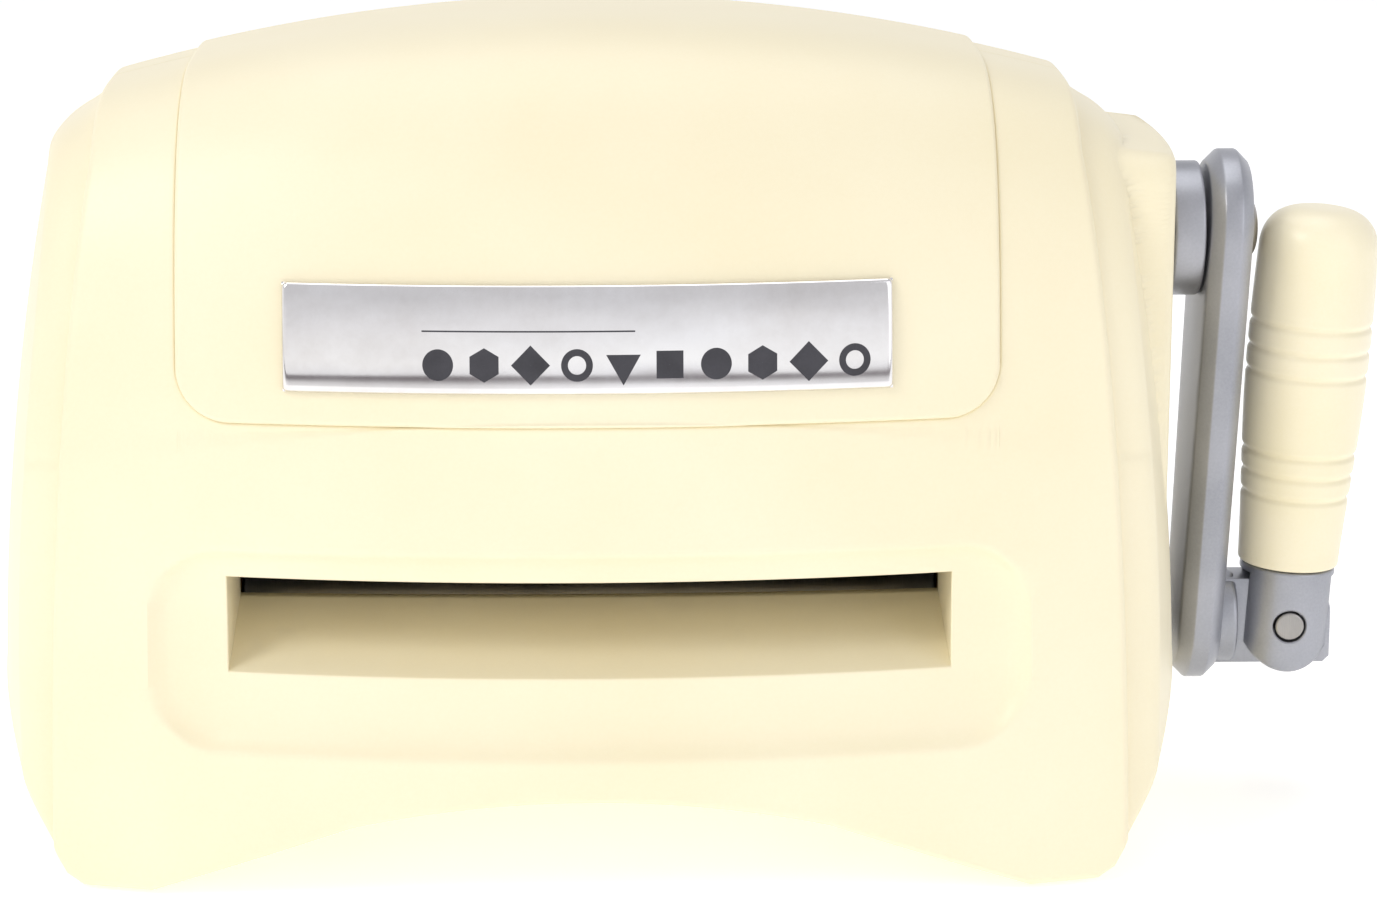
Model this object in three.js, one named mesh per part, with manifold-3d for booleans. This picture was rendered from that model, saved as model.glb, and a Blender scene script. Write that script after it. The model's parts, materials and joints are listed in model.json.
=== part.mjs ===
// A hand-cranked die cutting machine for paper crafts.
//
// A moulded case with an arched foot stands round a steel chassis. Two rollers squeeze a sandwich of
// cutting plates that is fed through a slot from the front to the back. A crank on the right turns a
// pinion, the pinion turns the upper roller, and a pair of equal gears on the left turns the lower one.
// The crank's handle folds up against its arm on a cross pin.
//
// Millimetres. X to the right, Y to the back, Z up. Everything is drawn about the case's own centre
// plane, and the whole is moved sideways at the end so that the origin is under the middle of the box.

import * as THREE from "three";
import { ConvexGeometry } from "three/addons/geometries/ConvexGeometry.js";
import { mergeVertices } from "three/addons/utils/BufferGeometryUtils.js";
import Module from "manifold-3d";

const wasm = await Module();
wasm.setup();

// ---------------------------------------------------------------- driving dimensions

const GAP = 0.3; // between neighbouring pieces that are cut to fit each other

const CASE = {
  height: 191.7, // highest point of the crowned top, under the raised panel
  floor: 1, // underside of the case, and the rubber feet stand this much lower
  footDepth: 88.2, // front face to centre plane, at the foot
  waistZ: 110, // the straight lower face ends here and the rounded shoulder starts
  waistDepth: 76.3,
  domeDepth: 79.4, // the shoulder is a squared ellipse of this half depth
  domePower: 3.45,
  crown: 418, // radius of the crown across the width
  wall: 3,
  lip: 11, // how deep the turned-in edge beside each side cover is
  overrun: 145, // the lofts run this far sideways before they are cut
};
const SPLIT = { foot: 123.2, curve: 0.0004, top: 112.3, high: 200 }; // where the side covers start
const SIDE = {
  half: 141.2, // widest point, at mid-depth
  crown: 178, // radius of the side in plan
  tuckFrom: 20, // above this height the side leans in
  tuck: 0.00075,
  topDrop: 19.2, // step and crown below the highest point, at stepX
  faceDrop: 17,
  stepX: 114,
  topSlope: 0.65,
  faceSlope: 0.45,
};
const ARCH = { apex: 24.4, kneeX: 54, kneeZ: 17.8, footX: 100 }; // underside between the feet
const FOOT_CUT = { x: 118, slope: 0.6, reach: 60 }; // sloping outer edge of each foot
const MOUTH = { half: 81.6, low: 51.5, high: 73.3, lipZ: 60, faceY: 77.5, innerY: 38, wall: 2.5 };
const DISH = { half: 99, low: 35, high: 80, backY: 62 };
const PANEL = { half: 92, low: 109, raise: 1.3, corner: 12 };
const BADGE = { half: 67.6, low: 116.5, high: 140, thick: 2.2, corner: 2 };
const PAD = { face: 137.2, top: 166, faceTop: 160, low: 60, half: 40, faceHalf: 24, corner: 14, hole: 7.2 };

const SLOT_Z = 67; // height of the nip between the rollers
const ROLLER = { radius: 14.5, nip: 11, half: 83, sides: 24 };
const SHAFT = { radius: 6, left: -105.5, right: 104, sides: 24 };
const UPPER_Z = SLOT_Z + ROLLER.nip / 2 + ROLLER.radius;
const LOWER_Z = SLOT_Z - ROLLER.nip / 2 - ROLLER.radius;
const GEAR = { from: 92, wide: 10, bore: 6.2, addendum: 0.92, dedendum: 1.25, play: 0.3, angle: 20 };
const PAIR = { teeth: 20, module: 2 };
const PINION = { teeth: 21, module: 1.5 };
const DRIVEN = { teeth: 48, module: 1.5 };
const CRANK_Z = UPPER_Z + ((PINION.teeth + DRIVEN.teeth) * PINION.module) / 2;
const BUSH = { sides: 16, radius: 9, bore: 6.2, seat: 9.2, flange: 11.5, flangeThick: 1.2 };

const FRAME = { inner: 85, thick: 5, low: 31.1, high: 158, halfLow: 56, halfHigh: 30, flange: 16, foot: 3 };
const BASE = { low: 28.3, thick: 2.5, halfX: 107, halfY: 58 };
const GEAR_WINDOW = { from: 90.5, to: 103.5, half: 20 }; // lets the lower roller gear hang through
const BOTTOM = { half: 94, halfY: 71, recess: 1.2, thick: 2.5, bossX: 60, bossY: 45, boss: 6 };
const TIE = { radius: 4, high: 132, highY: 22, low: 40, lowY: 46 };
const GEARBOX = { inner: 105.5, thick: 4, halfLow: 50, halfHigh: 28, low: 73, waist: 92, high: 158 };
const POST = { radius: 4, lowY: 42, low: 80, highY: 20, high: 150 }; // clear of both drive gears
const SEAT = 0.1; // assembly gap where one piece bears on another

const CRANK = {
  from: 80, // inner end of the crank shaft
  hubRadius: 16,
  hubFrom: 137.8,
  hubEnd: 145.2,
  inner: 146.1,
  thick: 10,
  boss: 18.8,
  tip: 15,
  reach: 96,
  lean: 2.2, // degrees that the arm leans in towards the case at its foot
  bevel: 1.8,
  screw: 7,
};
const PIN_Z = CRANK_Z - CRANK.reach;
const KNUCKLE = { x: 169, from: 151, bossEnd: 156.6, end: 179.8, half: 5.4, height: 10.6, boss: 11.4, hole: 3.65 };
const PIN = { radius: 3.5, half: 11.2 };
const FORK = { radius: 11.4, slot: 5.7, slotTop: 11.6, top: 13.3, lean: 3.4, spindle: 4, spindleTop: 88 };
const GRIP = { from: 13.6, length: 87.5, bore: 4.4, boreTop: 91, sides: 24 };
const RING = { at: 84, radius: 4.3, seat: 3.2, thick: 1.2, recess: 5.6 };
const RUBBER = { x: 108, y: 50, pad: 7.4, stem: 4, stemTop: 6.4, cap: 5.4, floor: 4 };
const SCREW = { head: 3.9, headDeep: 2.4, shank: 1.9, headTop: 4.2 }; // headTop is below the base plate

// ---------------------------------------------------------------- materials

const moulding = () => new THREE.MeshStandardMaterial({ color: 0xfbf1d4, roughness: 0.55, metalness: 0 });
const castMetal = () => new THREE.MeshStandardMaterial({ color: 0xa3a4ab, roughness: 0.35, metalness: 0.8 });
const steel = () => new THREE.MeshStandardMaterial({ color: 0x9b9ea3, roughness: 0.4, metalness: 1 });
const zincPlate = () => new THREE.MeshStandardMaterial({ color: 0xb4b8bb, roughness: 0.45, metalness: 0.9 });
const chromePlate = () => new THREE.MeshStandardMaterial({ color: 0xe4e4e8, roughness: 0.12, metalness: 1 });
const gearNylon = () => new THREE.MeshStandardMaterial({ color: 0x3a3d42, roughness: 0.5, metalness: 0.1 });
const bronze = () => new THREE.MeshStandardMaterial({ color: 0xb58a4c, roughness: 0.4, metalness: 1 });
const rubber = () => new THREE.MeshStandardMaterial({ color: 0x2b2b2c, roughness: 0.9, metalness: 0 });

// ---------------------------------------------------------------- solids from geometries

// Which model axis each drawing axis turns into.
const ALONG_X = new THREE.Matrix4().makeBasis(
  new THREE.Vector3(0, 1, 0), new THREE.Vector3(0, 0, 1), new THREE.Vector3(1, 0, 0));
const ALONG_Y = new THREE.Matrix4().makeBasis(
  new THREE.Vector3(1, 0, 0), new THREE.Vector3(0, 0, 1), new THREE.Vector3(0, -1, 0));
const SPUN_X = new THREE.Matrix4().makeBasis(
  new THREE.Vector3(0, 0, 1), new THREE.Vector3(1, 0, 0), new THREE.Vector3(0, 1, 0));

// A manifold solid from any closed geometry, with its faces turned outwards.
function solidOf(geometry) {
  const bare = geometry.clone();
  bare.deleteAttribute("normal");
  bare.deleteAttribute("uv");
  const merged = mergeVertices(bare, 1e-4);
  const position = merged.getAttribute("position");
  const index = merged.getIndex().array;
  const corner = [new THREE.Vector3(), new THREE.Vector3(), new THREE.Vector3()];
  const triangles = [];
  let volume = 0;
  for (let i = 0; i < index.length; i += 3) {
    const face = [index[i], index[i + 1], index[i + 2]];
    if (face[0] === face[1] || face[1] === face[2] || face[2] === face[0]) continue;
    face.forEach((vertex, k) => corner[k].fromBufferAttribute(position, vertex));
    volume += corner[0].dot(corner[1].clone().cross(corner[2]));
    triangles.push(face);
  }
  const triVerts = new Uint32Array(triangles.flatMap((face) => (volume < 0 ? face.reverse() : face)));
  return new wasm.Manifold(new wasm.Mesh({ numProp: 3, vertProperties: position.array, triVerts }));
}

function geometryOf(solid) {
  const mesh = solid.getMesh();
  const geometry = new THREE.BufferGeometry();
  geometry.setAttribute("position", new THREE.BufferAttribute(mesh.vertProperties, 3));
  geometry.setIndex(new THREE.BufferAttribute(mesh.triVerts, 1));
  const flat = geometry.toNonIndexed();
  flat.computeVertexNormals();
  return flat;
}

function outlineOf(points, holes = []) {
  const shape = new THREE.Shape(points.map(([u, v]) => new THREE.Vector2(u, v)));
  for (const hole of holes) {
    shape.holes.push(new THREE.Path(hole.map(([u, v]) => new THREE.Vector2(u, v))));
  }
  return shape;
}

function circle(u, v, radius, sides) {
  const points = [];
  for (let i = 0; i < sides; i += 1) {
    const angle = (2 * Math.PI * i) / sides;
    points.push([u + radius * Math.cos(angle), v + radius * Math.sin(angle)]);
  }
  return points;
}

function plainExtrude(shape, depth, steps = 1) {
  return new THREE.ExtrudeGeometry(shape, { depth, steps, bevelEnabled: false });
}

// A flat outline swept along one axis. Its points are [y, z], [x, z] or [x, y].
function sweptX(points, from, to, holes = [], steps = 1) {
  return plainExtrude(outlineOf(points, holes), to - from, steps).applyMatrix4(ALONG_X).translate(from, 0, 0);
}

function sweptY(points, from, to, holes = [], steps = 1) {
  return plainExtrude(outlineOf(points, holes), to - from, steps).applyMatrix4(ALONG_Y).translate(0, to, 0);
}

function sweptZ(points, from, to, holes = [], steps = 1) {
  return plainExtrude(outlineOf(points, holes), to - from, steps).translate(0, 0, from);
}

// A turned piece about the X, Y or Z axis through the origin, from [radius, distance along the axis].
function turned(axis, profile, sides) {
  const lathe = new THREE.LatheGeometry(profile.map(([r, a]) => new THREE.Vector2(r, a)), sides);
  if (axis === "x") lathe.applyMatrix4(SPUN_X);
  if (axis === "z") lathe.applyMatrix4(ALONG_X);
  return lathe;
}

function tubeProfile(inner, outer, from, to) {
  return [[inner, from], [outer, from], [outer, to], [inner, to], [inner, from]];
}

function rodProfile(radius, from, to) {
  return [[0, from], [radius, from], [radius, to], [0, to]];
}

function box(x0, x1, y0, y1, z0, z1) {
  const geometry = new THREE.BoxGeometry(x1 - x0, y1 - y0, z1 - z0);
  return geometry.translate((x0 + x1) / 2, (y0 + y1) / 2, (z0 + z1) / 2);
}

// Moves every vertex of a swept geometry.
function warped(geometry, move) {
  const position = geometry.getAttribute("position");
  for (let i = 0; i < position.count; i += 1) {
    const [x, y, z] = move(position.getX(i), position.getY(i), position.getZ(i));
    position.setXYZ(i, x, y, z);
  }
  return geometry;
}

function roundedRectangle(u0, u1, v0, v1, radius, arcSteps) {
  const centres = [[u1 - radius, v1 - radius], [u0 + radius, v1 - radius], [u0 + radius, v0 + radius],
    [u1 - radius, v0 + radius]];
  const points = [];
  centres.forEach(([u, v], quarter) => {
    for (let i = 0; i <= arcSteps; i += 1) {
      const angle = (Math.PI / 2) * (quarter + i / arcSteps);
      points.push([u + radius * Math.cos(angle), v + radius * Math.sin(angle)]);
    }
  });
  return points;
}

const model = new THREE.Group();

function place(name, source, material, parent = model) {
  const geometry = source instanceof THREE.BufferGeometry ? geometryOf(solidOf(source)) : geometryOf(source);
  const mesh = new THREE.Mesh(geometry, material);
  mesh.name = name;
  parent.add(mesh);
  return mesh;
}

// ---------------------------------------------------------------- the case

// Depth of the straight part of the front face at one height.
function faceDepth(z) {
  return CASE.waistDepth + ((CASE.footDepth - CASE.waistDepth) * (CASE.waistZ - z)) / CASE.waistZ;
}

// The side profile as [y, z], from the front foot over the top to the rear foot: a straight leaning face, then a squared
// ellipse over the shoulder. Grow moves it outwards.
function sideProfile(grow, lowest, steps) {
  const half = [[faceDepth(lowest) + grow, lowest]];
  for (let i = 0; i <= steps; i += 1) {
    const t = Math.pow(i / steps, 0.8);
    const start = Math.asin(Math.pow(CASE.waistZ / CASE.height, CASE.domePower / 2));
    const angle = start + (Math.PI / 2 - start) * t;
    const y = CASE.domeDepth * Math.pow(Math.max(Math.cos(angle), 0), 2 / CASE.domePower);
    const z = CASE.height * Math.pow(Math.sin(angle), 2 / CASE.domePower);
    half.push([i === steps ? 0 : y + grow * (y / CASE.domeDepth), z + grow * (z / CASE.height)]);
  }
  const front = half.map(([y, z]) => [-y, z]);
  const back = half.slice(0, -1).reverse();
  return front.concat(back);
}

const crownDrop = (x) => (x * x) / (2 * CASE.crown);
const cheekTop = (x) => SIDE.topDrop + SIDE.topSlope * (Math.abs(x) - SIDE.stepX);
const cheekFace = (x) => SIDE.faceDrop + SIDE.faceSlope * (Math.abs(x) - SIDE.stepX);
const sideReach = (z) => SIDE.half - SIDE.tuck * Math.max(0, z - SIDE.tuckFrom) ** 2;
const splitReach = (z) => Math.max(SPLIT.top, SPLIT.foot - SPLIT.curve * z * z);

// The crowned middle of the case as a solid block, grown outwards by a wall or shrunk by one.
function middleBlock(grow, lowest) {
  const inside = grow < -1;
  const profile = sideProfile(grow, lowest, inside ? 6 : 10);
  const geometry = sweptX(profile, -CASE.overrun, CASE.overrun, [], inside ? 8 : 16);
  return solidOf(warped(geometry, (x, y, z) => [
    x, y * (1 - crownDrop(x) / CASE.footDepth), z > 0 ? z * (1 - crownDrop(x) / CASE.height) : z]));
}

// The lower block under one side cover, on the side that the sign says.
function cheekBlock(sign, grow, lowest) {
  const profile = sideProfile(grow, lowest, grow < -1 ? 6 : 10);
  const from = SPLIT.top - 8;
  const geometry = sweptX(profile, from, CASE.overrun, [], 3);
  const block = warped(geometry, (x, y, z) => [
    x, y * (1 - cheekFace(x) / CASE.footDepth), z > 0 ? z * (1 - cheekTop(x) / CASE.height) : z]);
  const solid = solidOf(block).intersect(planBlock(grow));
  return sign > 0 ? solid : solid.mirror([1, 0, 0]);
}

// Everything inside the crowned and leaning side walls.
function planBlock(grow) {
  const points = [];
  for (let i = 0; i <= 10; i += 1) {
    const y = -100 + 20 * i;
    points.push([SIDE.half - (y * y) / (2 * SIDE.crown), y]);
  }
  points.push([-10, 100], [-10, -100]);
  const geometry = sweptZ(points, -10, CASE.height + 7, [], 12);
  return solidOf(warped(geometry, (x, y, z) => [
    x > 0 ? x + sideReach(z) - SIDE.half + grow : x, y, z]));
}

// The part of space between the two side covers, widened by an amount.
function betweenCovers(widen) {
  const right = [];
  for (let i = 0; i <= 8; i += 1) {
    const z = -10 + ((SPLIT.high + 10) * i) / 8;
    right.push([splitReach(Math.max(z, 0)) + widen, z]);
  }
  const left = right.map(([x, z]) => [-x, z]).reverse();
  return solidOf(sweptY(right.concat(left), -110, 110));
}

function archPoints(raise) {
  const points = [];
  const radius = (ARCH.kneeX ** 2 + (ARCH.apex - ARCH.kneeZ) ** 2) / (2 * (ARCH.apex - ARCH.kneeZ));
  for (let i = -4; i <= 4; i += 1) {
    const x = (ARCH.kneeX * i) / 4;
    points.push([x, ARCH.apex - radius + Math.sqrt(radius * radius - x * x) + raise]);
  }
  return points;
}

// The room under the case: the arch between the feet and the slope outside each foot.
function underside() {
  const arch = [[-ARCH.footX, CASE.floor], ...archPoints(0), [ARCH.footX, CASE.floor], [ARCH.footX, -10],
    [-ARCH.footX, -10]];
  const slope = [[FOOT_CUT.x + FOOT_CUT.slope * CASE.floor, CASE.floor],
    [FOOT_CUT.x + FOOT_CUT.slope * FOOT_CUT.reach, FOOT_CUT.reach], [CASE.overrun + 10, FOOT_CUT.reach],
    [CASE.overrun + 10, CASE.floor]];
  const right = solidOf(sweptY(slope, -110, 110));
  const ground = solidOf(box(-CASE.overrun - 10, CASE.overrun + 10, -110, 110, -20, CASE.floor));
  return solidOf(sweptY(arch, -110, 110)).add(right).add(right.mirror([1, 0, 0])).add(ground);
}

// The panel over the top, as a front view outline that runs down to its rounded lower corners.
function panelRegion(grow) {
  const edge = PANEL.half + grow;
  const region = roundedRectangle(-edge, edge, PANEL.low - grow, CASE.height + 40, PANEL.corner + grow, 4);
  return solidOf(sweptY(region, -110, 110));
}

function frontHalf() {
  return solidOf(box(-CASE.overrun, CASE.overrun, -110, -GAP / 2, -10, CASE.height + 10));
}

// The block that the mouth is cut from: a thick lip behind the dish and a square funnel to the rollers.
function mouthBlock() {
  const half = MOUTH.half + MOUTH.wall;
  const lip = solidOf(box(-DISH.half - MOUTH.wall, DISH.half + MOUTH.wall, -100, -DISH.backY,
    DISH.low - MOUTH.wall, DISH.high + MOUTH.wall));
  const funnel = [[-100, MOUTH.low - 6], [-MOUTH.innerY, MOUTH.lipZ - MOUTH.wall],
    [-MOUTH.innerY, MOUTH.high + MOUTH.wall], [-100, MOUTH.high + MOUTH.wall]];
  return lip.add(solidOf(sweptX(funnel, -half, half)));
}

// A shallow dish round the mouth. It follows the crown of the face and fades out at both ends.
function dishCut() {
  const floor = [[-faceDepth(DISH.low), DISH.low], [-MOUTH.faceY, MOUTH.low], [-MOUTH.faceY, MOUTH.high],
    [-faceDepth(DISH.high), DISH.high]];
  const points = [[-110, DISH.low], ...floor, [-110, DISH.high]];
  const geometry = sweptX(points, -DISH.half, DISH.half, [], 12);
  return solidOf(warped(geometry, (x, y, z) => {
    const fade = Math.min(1, (DISH.half - Math.abs(x)) / (DISH.half - MOUTH.half) + 0.02);
    const face = -faceDepth(z);
    return [x, (y < -100 ? y : face + (y - face) * fade) + crownDrop(x), z];
  }));
}

function mouthCut() {
  const funnel = [[-100, MOUTH.low], [-MOUTH.faceY, MOUTH.low], [-MOUTH.innerY + 5, MOUTH.lipZ],
    [-MOUTH.innerY + 5, MOUTH.high], [-100, MOUTH.high]];
  return solidOf(sweptX(funnel, -MOUTH.half, MOUTH.half)).add(dishCut());
}

function footHoles() {
  let holes = null;
  for (const x of [-RUBBER.x, RUBBER.x]) {
    for (const y of [-RUBBER.y, RUBBER.y]) {
      const hole = solidOf(sweptZ(circle(x, y, RUBBER.stem + GAP, 12), -5, 12));
      holes = holes ? holes.add(hole) : hole;
    }
  }
  return holes;
}

// One end shell: the middle of the case, with a turned-in lip beside each side cover and a mouth.
function endShell() {
  const outer = middleBlock(0, -5).intersect(betweenCovers(0));
  const roomy = middleBlock(-CASE.wall, CASE.floor + CASE.wall).intersect(betweenCovers(-CASE.wall));
  const throughLip = middleBlock(-CASE.lip, CASE.floor + CASE.lip);
  const skin = outer.subtract(roomy).subtract(throughLip);
  const shell = skin.add(mouthBlock().intersect(outer)).subtract(mouthCut());
  return shell.subtract(underside()).subtract(panelRegion(GAP)).subtract(footHoles()).intersect(frontHalf());
}

function addEndShells() {
  const front = endShell();
  place("front_shell", front, moulding());
  place("rear_shell", front.mirror([0, 1, 0]), moulding());
}

function addTopCover() {
  const skin = middleBlock(PANEL.raise, -5).subtract(middleBlock(PANEL.raise - CASE.wall, -6));
  place("top_cover", skin.intersect(panelRegion(0)), moulding());
}

function sideShell(sign) {
  const outer = cheekBlock(sign, 0, -5);
  const inner = cheekBlock(sign, -CASE.wall, CASE.floor + CASE.wall);
  const slope = [[0, CASE.floor + CASE.wall], [FOOT_CUT.x - CASE.wall, CASE.floor + CASE.wall],
    [FOOT_CUT.x - CASE.wall + FOOT_CUT.slope * FOOT_CUT.reach, FOOT_CUT.reach], [CASE.overrun + 9, 60],
    [CASE.overrun + 9, 210], [0, 210]];
  const above = solidOf(sweptY(slope, -110, 110));
  const hollow = inner.intersect(sign > 0 ? above : above.mirror([1, 0, 0]));
  return outer.subtract(hollow).subtract(underside()).subtract(betweenCovers(GAP));
}

// The flat pad round the crank, standing proud of the right side cover, with sloping edges.
function padBlock(inset) {
  const points = [];
  const face = roundedRectangle(-PAD.faceHalf + inset, PAD.faceHalf - inset, PAD.low, PAD.faceTop - inset,
    PAD.corner, 3);
  for (const [y, z] of face) {
    points.push(new THREE.Vector3(PAD.face - inset, y, z));
    points.push(new THREE.Vector3(SPLIT.foot, (y * PAD.half) / PAD.faceHalf,
      z > 100 ? z + PAD.top - PAD.faceTop : z));
  }
  return solidOf(new ConvexGeometry(points));
}

function addSideCovers() {
  place("left_side_cover", sideShell(-1), moulding());
  const clear = betweenCovers(GAP);
  const bore = solidOf(sweptX(circle(0, CRANK_Z, PAD.hole, 24), 100, 150));
  const inner = cheekBlock(1, -CASE.wall, CASE.floor + CASE.wall);
  const hollowPad = padBlock(CASE.wall);
  const pad = padBlock(0).subtract(hollowPad).subtract(clear).subtract(inner);
  const cover = sideShell(1).subtract(hollowPad).add(pad).subtract(bore);
  place("right_side_cover", cover, moulding());
}

// ---------------------------------------------------------------- badge, bottom and feet

// A thin plate that follows the crown of the top cover's front.
function addBadge() {
  const layer = middleBlock(PANEL.raise + GAP + BADGE.thick, -5).subtract(middleBlock(PANEL.raise + GAP, -6));
  const outline = roundedRectangle(-BADGE.half, BADGE.half, BADGE.low, BADGE.high, BADGE.corner, 2);
  place("name_plate", layer.intersect(solidOf(sweptY(outline, -110, -20))), chromePlate());
}

function bossPositions() {
  const places = [];
  for (const x of [-BOTTOM.bossX, BOTTOM.bossX]) {
    for (const y of [-BOTTOM.bossY, BOTTOM.bossY]) places.push([x, y]);
  }
  return places;
}

// An arched tray that closes the case from below, with four bosses that carry the chassis.
function addBottomCover() {
  const slope = (ARCH.kneeZ - CASE.floor) / (ARCH.footX - ARCH.kneeX);
  const endZ = ARCH.kneeZ - slope * (BOTTOM.half - ARCH.kneeX);
  const layer = (raise) => [[-BOTTOM.half, endZ + raise], ...archPoints(raise), [BOTTOM.half, endZ + raise]];
  const outline = layer(BOTTOM.recess).concat(layer(BOTTOM.recess + BOTTOM.thick).reverse());
  let tray = solidOf(sweptY(outline, -BOTTOM.halfY, BOTTOM.halfY));
  const above = solidOf(sweptY([...layer(BOTTOM.recess), [BOTTOM.half, 40], [-BOTTOM.half, 40]], -80, 80));
  for (const [x, y] of bossPositions()) {
    const boss = solidOf(sweptZ(circle(x, y, BOTTOM.boss, 16), 10, BASE.low - GAP));
    tray = tray.add(boss.intersect(above));
  }
  for (const [x, y] of bossPositions()) {
    const headHole = solidOf(sweptZ(circle(x, y, SCREW.head + GAP, 16), 5, BASE.low - SCREW.headTop + 2 * SEAT));
    const shankHole = solidOf(sweptZ(circle(x, y, SCREW.shank + GAP, 12), 5, 40));
    tray = tray.subtract(headHole).subtract(shankHole);
  }
  place("bottom_cover", tray, moulding());
}

function addChassisScrews() {
  bossPositions().forEach(([x, y], i) => {
    const headTop = BASE.low - SCREW.headTop;
    const tip = FRAME.low - SEAT;
    const profile = [[0, headTop - SCREW.headDeep], [SCREW.head, headTop - SCREW.headDeep],
      [SCREW.head, headTop], [SCREW.shank, headTop], [SCREW.shank, tip], [0, tip]];
    place(`chassis_screw_${i + 1}`, turned("z", profile, 12).translate(x, y, 0), steel());
  });
}

// A rubber foot: a pad on the floor, a stem through the case and a wider cap that holds it in.
function addRubberFeet() {
  const profile = [[0, 0], [RUBBER.pad, 0], [RUBBER.pad, CASE.floor - SEAT], [RUBBER.stem, CASE.floor - SEAT],
    [RUBBER.stem, RUBBER.floor + 0.2], [RUBBER.cap, RUBBER.floor + 0.2], [RUBBER.stem, RUBBER.stemTop],
    [0, RUBBER.stemTop]];
  const names = ["front_left_foot", "rear_left_foot", "front_right_foot", "rear_right_foot"];
  [-RUBBER.x, RUBBER.x].forEach((x, i) => {
    [-RUBBER.y, RUBBER.y].forEach((y, k) => {
      place(names[2 * i + k], turned("z", profile, 20).translate(x, y, 0), rubber());
    });
  });
}

// ---------------------------------------------------------------- chassis

function addBasePlate() {
  const holes = bossPositions().map(([x, y]) => circle(x, y, SCREW.shank + 0.2, 12));
  const outline = roundedRectangle(-BASE.halfX, BASE.halfX, -BASE.halfY, BASE.halfY, 6, 2);
  const { from, to, half } = GEAR_WINDOW;
  holes.push([[-to, -half], [-from, -half], [-from, half], [-to, half]]);
  place("base_plate", sweptZ(outline, BASE.low, BASE.low + BASE.thick, holes), zincPlate());
}

function framePlate(sign, bores) {
  const outline = [[-FRAME.halfLow, FRAME.low], [FRAME.halfLow, FRAME.low], [FRAME.halfLow, FRAME.low + 22],
    [FRAME.halfHigh, FRAME.high - 12], [FRAME.halfHigh - 10, FRAME.high], [-FRAME.halfHigh + 10, FRAME.high],
    [-FRAME.halfHigh, FRAME.high - 12], [-FRAME.halfLow, FRAME.low + 22]];
  const plate = solidOf(sweptX(outline, FRAME.inner, FRAME.inner + FRAME.thick, bores));
  const outer = FRAME.inner + FRAME.thick;
  const flange = solidOf(box(outer - 1, outer + FRAME.flange, -FRAME.halfLow, FRAME.halfLow, FRAME.low,
    FRAME.low + FRAME.foot));
  const { from, to, half } = GEAR_WINDOW;
  const bracket = plate.add(flange).subtract(solidOf(box(from, to, -half, half, 20, 50)));
  return sign > 0 ? bracket : bracket.mirror([1, 0, 0]);
}

function addFramePlates() {
  const rollerBores = [LOWER_Z, UPPER_Z].map((z) => circle(0, z, BUSH.seat, BUSH.sides));
  place("left_frame_plate", framePlate(-1, rollerBores), zincPlate());
  place("right_frame_plate", framePlate(1, [...rollerBores, circle(0, CRANK_Z, BUSH.seat, BUSH.sides)]), zincPlate());
}

function addTieBars() {
  const places = [["upper_front_tie_bar", -TIE.highY, TIE.high], ["upper_rear_tie_bar", TIE.highY, TIE.high],
    ["lower_front_tie_bar", -TIE.lowY, TIE.low], ["lower_rear_tie_bar", TIE.lowY, TIE.low]];
  const profile = rodProfile(TIE.radius, -FRAME.inner + SEAT, FRAME.inner - SEAT);
  for (const [name, y, z] of places) {
    place(name, turned("x", profile, 16).translate(0, y, z), steel());
  }
}

// A second plate outside the drive gears, held off the right frame plate by four posts.
function addGearbox() {
  const { halfLow, halfHigh, low, waist, high } = GEARBOX;
  const outline = [[-halfLow, low], [halfLow, low], [halfLow, waist], [halfHigh, high], [-halfHigh, high],
    [-halfLow, waist]];
  const bores = [circle(0, CRANK_Z, BUSH.seat, BUSH.sides)];
  const post = turned("x", rodProfile(POST.radius, FRAME.inner + FRAME.thick + SEAT, GEARBOX.inner - SEAT), 16);
  const places = [[-POST.lowY, POST.low], [POST.lowY, POST.low], [-POST.highY, POST.high], [POST.highY, POST.high]];
  places.forEach(([y, z], i) => place(`gearbox_post_${i + 1}`, post.clone().translate(0, y, z), steel()));
  place("gearbox_plate", sweptX(outline, GEARBOX.inner, GEARBOX.inner + GEARBOX.thick, bores), zincPlate());
}

// A bronze bush with a flange on its inner side, centred on a shaft that runs along X.
function addBush(name, z, from, sign) {
  const length = FRAME.thick + 0.6;
  const profile = [[BUSH.bore, -BUSH.flangeThick], [BUSH.flange, -BUSH.flangeThick], [BUSH.flange, -SEAT],
    [BUSH.radius, -SEAT], [BUSH.radius, length], [BUSH.bore, length], [BUSH.bore, -BUSH.flangeThick]];
  const bush = solidOf(turned("x", profile, BUSH.sides).translate(from, 0, z));
  place(name, sign > 0 ? bush : bush.mirror([1, 0, 0]), bronze());
}

function addBushes() {
  addBush("left_upper_bush", UPPER_Z, FRAME.inner, -1);
  addBush("right_upper_bush", UPPER_Z, FRAME.inner, 1);
  addBush("left_lower_bush", LOWER_Z, FRAME.inner, -1);
  addBush("right_lower_bush", LOWER_Z, FRAME.inner, 1);
  addBush("inner_crank_bush", CRANK_Z, FRAME.inner, 1);
  addBush("outer_crank_bush", CRANK_Z, GEARBOX.inner, 1);
}

// ---------------------------------------------------------------- rollers and gears

function addRoller(name, z, right) {
  const end = ROLLER.half;
  const profile = [[0, SHAFT.left], [SHAFT.radius, SHAFT.left], [SHAFT.radius, -end],
    [ROLLER.radius - 1, -end], [ROLLER.radius, -end + 1], [ROLLER.radius, end - 1],
    [ROLLER.radius - 1, end], [SHAFT.radius, end], [SHAFT.radius, right], [0, right]];
  place(name, turned("x", profile, ROLLER.sides).translate(0, 0, z), steel());
}

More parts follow.
